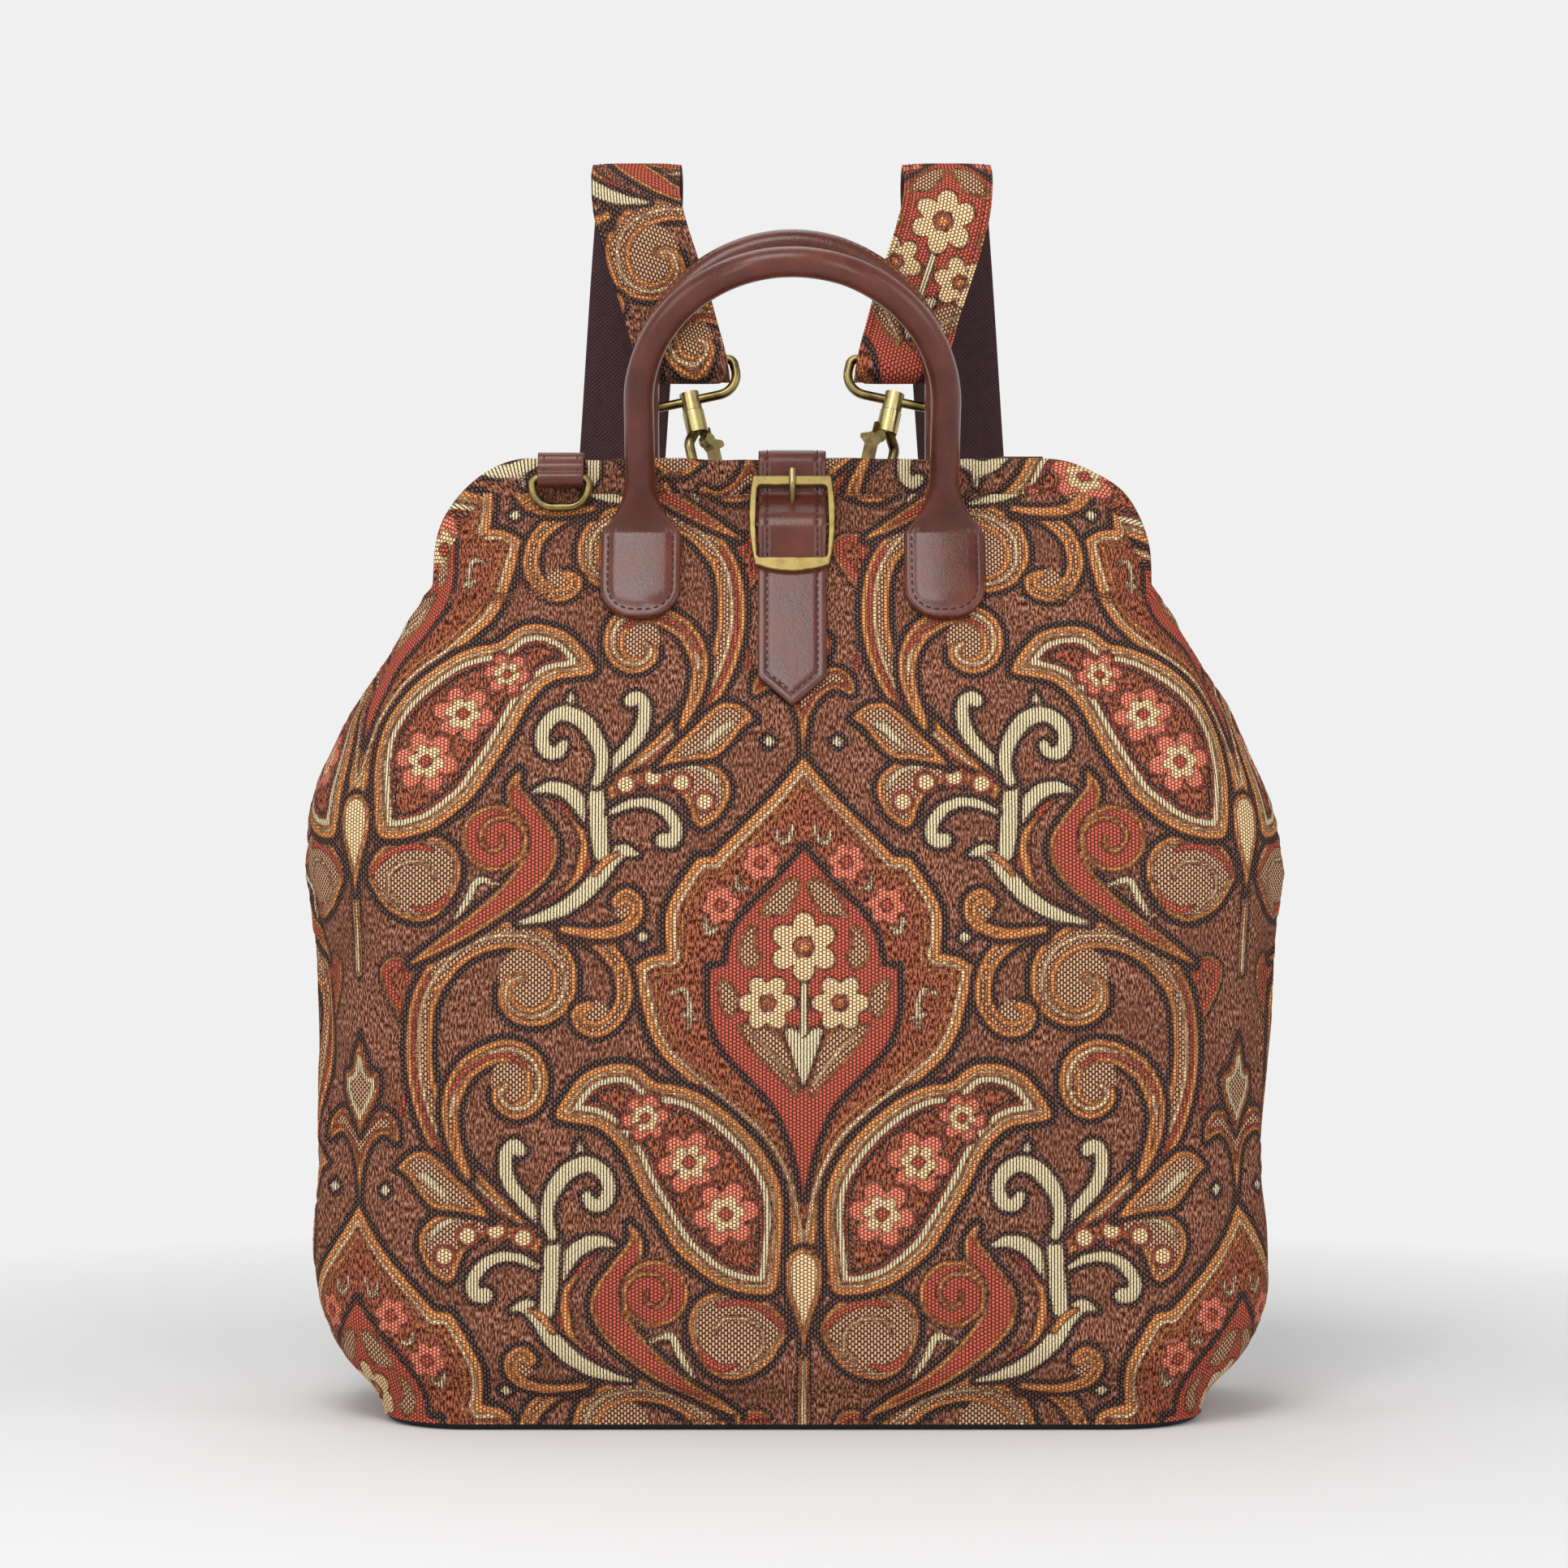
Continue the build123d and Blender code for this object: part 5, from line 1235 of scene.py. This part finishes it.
def wallLoop(name, node, foot, along, up, normal):
    mid, under = loops["mid"], loops["under"]
    turn = np.linspace(-.5 * math.pi, .92 * math.pi, 26)
    route = [(-loops["tail"], under), (-10, under)]
    route += [(mid * math.cos(t), loops["ring"] + mid * math.sin(t)) for t in turn] + list(loops["over"])
    flat = evenLine(route, loops["step"])
    loopBand(name, node, foot + up * flat[:, :1] + normal * flat[:, 1:], along, .2, 25)
    k, (top, low) = loops["half"] - loops["stitchInset"], loops["box"]
    box = [(-k, top), (-k, low), (k, low), (k, top), (-k, top)]
    return evenLine([foot + along * a + up * s + normal * loops["boxLift"] for a, s in box], .7)


def rimLoop(name, node, side):
    # over the rim from the mouth, down its face and round the ring's bar
    x, y, bar, top = side * rimLoops["x"], rimLoops["face"], rimLoops["bar"], rimLoops["top"]
    mid, turn = loops["mid"], np.linspace(.42 * math.pi, -math.pi, 20)
    route = [(y + a, top + b) for a, b in rimLoops["fold"]]
    route += [(y + loops["ring"] + mid * math.cos(t), bar + mid * math.sin(t)) for t in turn]
    route += [(y + loops["under"], bar + 3), (y + loops["under"], top - 2)]
    flat = evenLine(smoothLine(route, steps=4), loops["step"])
    line = np.stack([np.full(len(flat), x), side * flat[:, 0], flat[:, 1]], 1)
    loopBand(name, node, line, (-side, 0, 0), 0, 21)
    k, (outward, upward) = loops["half"] - loops["stitchInset"], rimLoops["stitchOut"]
    sewn = [p for p in flat if p[0] - y > rimLoops["sewnFace"] and p[1] > bar + rimLoops["sewnFoot"]]
    return [evenLine([(x + a, side * (p[0] + outward), p[1] + upward) for p in sewn], .7) for a in (-k, k)]


loopRows = []
for hand, side in ((-1, "left"), (1, "right")):
    foot, along, upSlope, normal = slopeSeat(1, loops["topSeat"])
    foot = foot + normal * slope["gap"] + np.array([loops["topX"] * hand, 0, 0])
    loopRows.append(wallLoop(side + "TopLoop", side + "_top_tab", foot, along, upSlope, normal))
    foot = np.array(loops["lowSeat"]) * np.array([hand, 1, 1.0])
    upright = np.array([[-1.0, 0, 0], [0, 0, 1], [0, 1, 0]])
    loopRows.append(wallLoop(side + "LowLoop", side + "_low_tab", foot, *upright))
for name, node, side in (("frontRimLoop", "front_ring_tab", -1), ("rearRimLoop", "rear_ring_tab", 1)):
    loopRows += rimLoop(name, node, side)
stitches("loopStitches", loopRows, thread, pitch=2.9, length=2.0, radius=.32)
print("ring loops made")


# base: insets and heights of the rings from the inner edge over the rounded foot to the middle

base = {
    "halfWidth": 168.0, "halfDepth": 69.3, "corner": 38.5, "height": 6.0, "round": 5.0, "count": 160,
    "lip": ((16, .1), (3, .1), (.8, .3), (0, 1)), "under": (9, 16, 26, 38, 52, 68.5)}


def baseRing(inset, z):
    w, d, c = base["halfWidth"] - inset, base["halfDepth"] - inset, max(base["corner"] - inset, 1.0)
    t = np.linspace(0, math.pi / 2, 16)
    corner = np.stack([w - c + c * np.cos(t), d - c + c * np.sin(t)], 1)
    loop = np.vstack([corner, corner[::-1] * (-1, 1), -corner, corner[::-1] * (1, -1), corner[:1]])
    run = runAlong(loop)
    at = np.linspace(0, run[-1], base["count"], endpoint=False)
    return np.stack([np.interp(at, run, loop[:, 0]), np.interp(at, run, loop[:, 1]), np.full(base["count"], z)], 1)


def basePiece():
    profile = [(inset, base["height"] - drop) for inset, drop in base["lip"]]
    profile += [(base["round"] * (1 - math.cos(t)), base["round"] * (1 - math.sin(t)))
                for t in np.linspace(0, math.pi / 2, 8)]
    profile += [(inset, 0.0) for inset in base["under"]]
    rings = np.array([baseRing(inset, z) for inset, z in profile])
    mesh = gridMesh("basePanel", rings[::-1], closedU=True, caps=True)
    addPiece("basePanel", mesh, baseCanvas, ["base_panel"])


basePiece()
print("base made")


# laptop sleeve: a padded wall round three sides, quilted in rows

sleeve = {
    "half": 146.0, "front": 34.0, "back": 59.5, "corner": 9.0, "low": 6.9, "high": 256.5, "wall": 3.4, "step": 3.0,
    "quilt": 42.0, "quiltDeep": 1.1, "quiltHalf": 3.0, "hemDeep": .8, "hemHalf": 2.0}


def sleevePiece():
    half, front, back = sleeve["half"], sleeve["front"], sleeve["back"]
    middle, tall = (sleeve["low"] + sleeve["high"]) / 2, (sleeve["high"] - sleeve["low"]) / 2
    line = roundedLine([(-half, back, middle), (-half, front, middle), (half, front, middle), (half, back, middle)],
                       sleeve["corner"], sleeve["step"])
    across, out = flatFrame(line, (0, 0, 1))

    def crown(i, a):
        row = np.mod(a, sleeve["quilt"]) - sleeve["quilt"] / 2
        hem = sleeve["hemDeep"] * bell(tall - np.abs(a), sleeve["hemHalf"])
        return -sleeve["quiltDeep"] * bell(row, sleeve["quiltHalf"]) - hem
    wall = sleeve["wall"] / 2
    mesh = bandMesh("laptopSleeve", line, across, out, [tall] * len(line), -wall, wall, crown, count=90)
    piece = addPiece("laptopSleeve", mesh, sleeveTwill, ["laptop_sleeve"])


sleevePiece()
print("laptop sleeve made")


# metal and inner pieces keep their solids, with their own finish

for name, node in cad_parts.items():
    if node.hide_render:
        continue
    steel = "frame" in name and "buckle" not in name
    node.data.materials.clear()
    node.data.materials.append(boardGrey if name == "base_board" else zincSteel if steel else brass)


# floor, light and camera, in metres

stage = {
    "floor": tone(230, 230, 230), "back": tone(240, 240, 240), "near": .34, "far": .7, "world": .48,
    "halfWidth": 8.0, "front": -6.0, "bend": 2.2, "radius": 1.6, "top": 7.0}
# place, aim, width, height and power
lamps = {
    "keyLamp": ((-.3, -1.2, 1.62), (0, -.03, .3), .75, .75, 13.0),
    "leftLamp": ((-1.5, -.9, .9), (0, 0, .3), .9, .9, 7.0),
    "rightLamp": ((1.5, -.9, .8), (0, 0, .3), .9, .9, 6.3),
    "leftStrip": ((-.62, -1.75, .75), (0, 0, .32), .16, 1.0, 4.2),
    "rightStrip": ((.62, -1.75, .75), (0, 0, .32), .16, 1.0, 4.2),
    "topLamp": ((-.2, .7, 2.0), (0, 0, .3), 1.2, 1.2, 7.0)}
view = {"at": (-.0034, -1.7, .26), "width": .657, "distance": 1.7, "sensor": 36.0}


def paleFloor():
    bend, r, wide = stage["bend"], stage["radius"], stage["halfWidth"]
    curve = [(bend + r * math.sin(t), r - r * math.cos(t)) for t in np.linspace(.05, math.pi / 2, 24)]
    profile = [(stage["front"], 0), (bend, 0)] + curve + [(bend + r, stage["top"])]
    mesh = bpy.data.meshes.new("paleFloor")
    mesh.from_pydata([(x, y, z) for y, z in profile for x in (-wide, wide)], [],
                     [(2 * i, 2 * i + 1, 2 * i + 3, 2 * i + 2) for i in range(len(profile) - 1)])
    mesh.shade_smooth()
    paper, tree, shader = finish("palePaper", Roughness=.95, Specular_IOR_Level=.0)
    shader.inputs["Base Color"].default_value = stage["floor"]
    # past the shadow the camera sees an even backdrop
    away = addNode(tree, "ShaderNodeVectorMath", {0: place(tree)}, operation="LENGTH").outputs["Value"]
    rays = addNode(tree, "ShaderNodeLightPath").outputs
    direct = sums(tree, "MAXIMUM", rays["Is Camera Ray"], rays["Is Glossy Ray"])
    even = addNode(tree, "ShaderNodeEmission", {"Color": stage["back"], "Strength": 1.0}).outputs[0]
    share = sums(tree, "MULTIPLY", fit(tree, away, stage["near"], stage["far"]), direct)
    both = addNode(tree, "ShaderNodeMixShader", {0: share, 1: shader.outputs[0], 2: even}).outputs[0]
    tree.links.new(both, tree.nodes["Material Output"].inputs["Surface"])
    floor = bpy.data.objects.new("paleFloor", mesh)
    scene.collection.objects.link(floor)
    mesh.materials.append(paper)


def areaLamp(name, at, aim, wide, tall, power):
    lamp = bpy.data.lights.new(name, "AREA")
    lamp.shape = "RECTANGLE"
    lamp.size, lamp.size_y, lamp.energy = wide, tall, power
    holder = bpy.data.objects.new(name, lamp)
    holder.location = at
    holder.rotation_euler = (Vector(aim) - Vector(at)).to_track_quat("-Z", "Y").to_euler()
    scene.collection.objects.link(holder)


def studioWorld():
    world = bpy.data.worlds.new("studio")
    world.use_nodes = True
    sky = world.node_tree
    ground = sky.nodes["Background"].inputs
    ground[0].default_value = (1, 1, 1, 1)
    seen = addNode(sky, "ShaderNodeLightPath").outputs["Is Camera Ray"]
    sky.links.new(fit(sky, seen, 0.0, 1.0, stage["world"], stage["back"][0]), ground[1])
    scene.world = world


def frontCamera():
    lens = bpy.data.cameras.new("frontView")
    lens.sensor_width = view["sensor"]
    lens.lens = view["sensor"] * view["distance"] / view["width"]
    eye = bpy.data.objects.new("frontView", lens)
    eye.location = view["at"]
    eye.rotation_euler = (math.pi / 2, 0, 0)
    scene.collection.objects.link(eye)
    scene.camera = eye


paleFloor()
for name, lamp in lamps.items():
    areaLamp(name, *lamp)
studioWorld()
frontCamera()
scene.view_settings.view_transform = "Standard"
print("stage made")
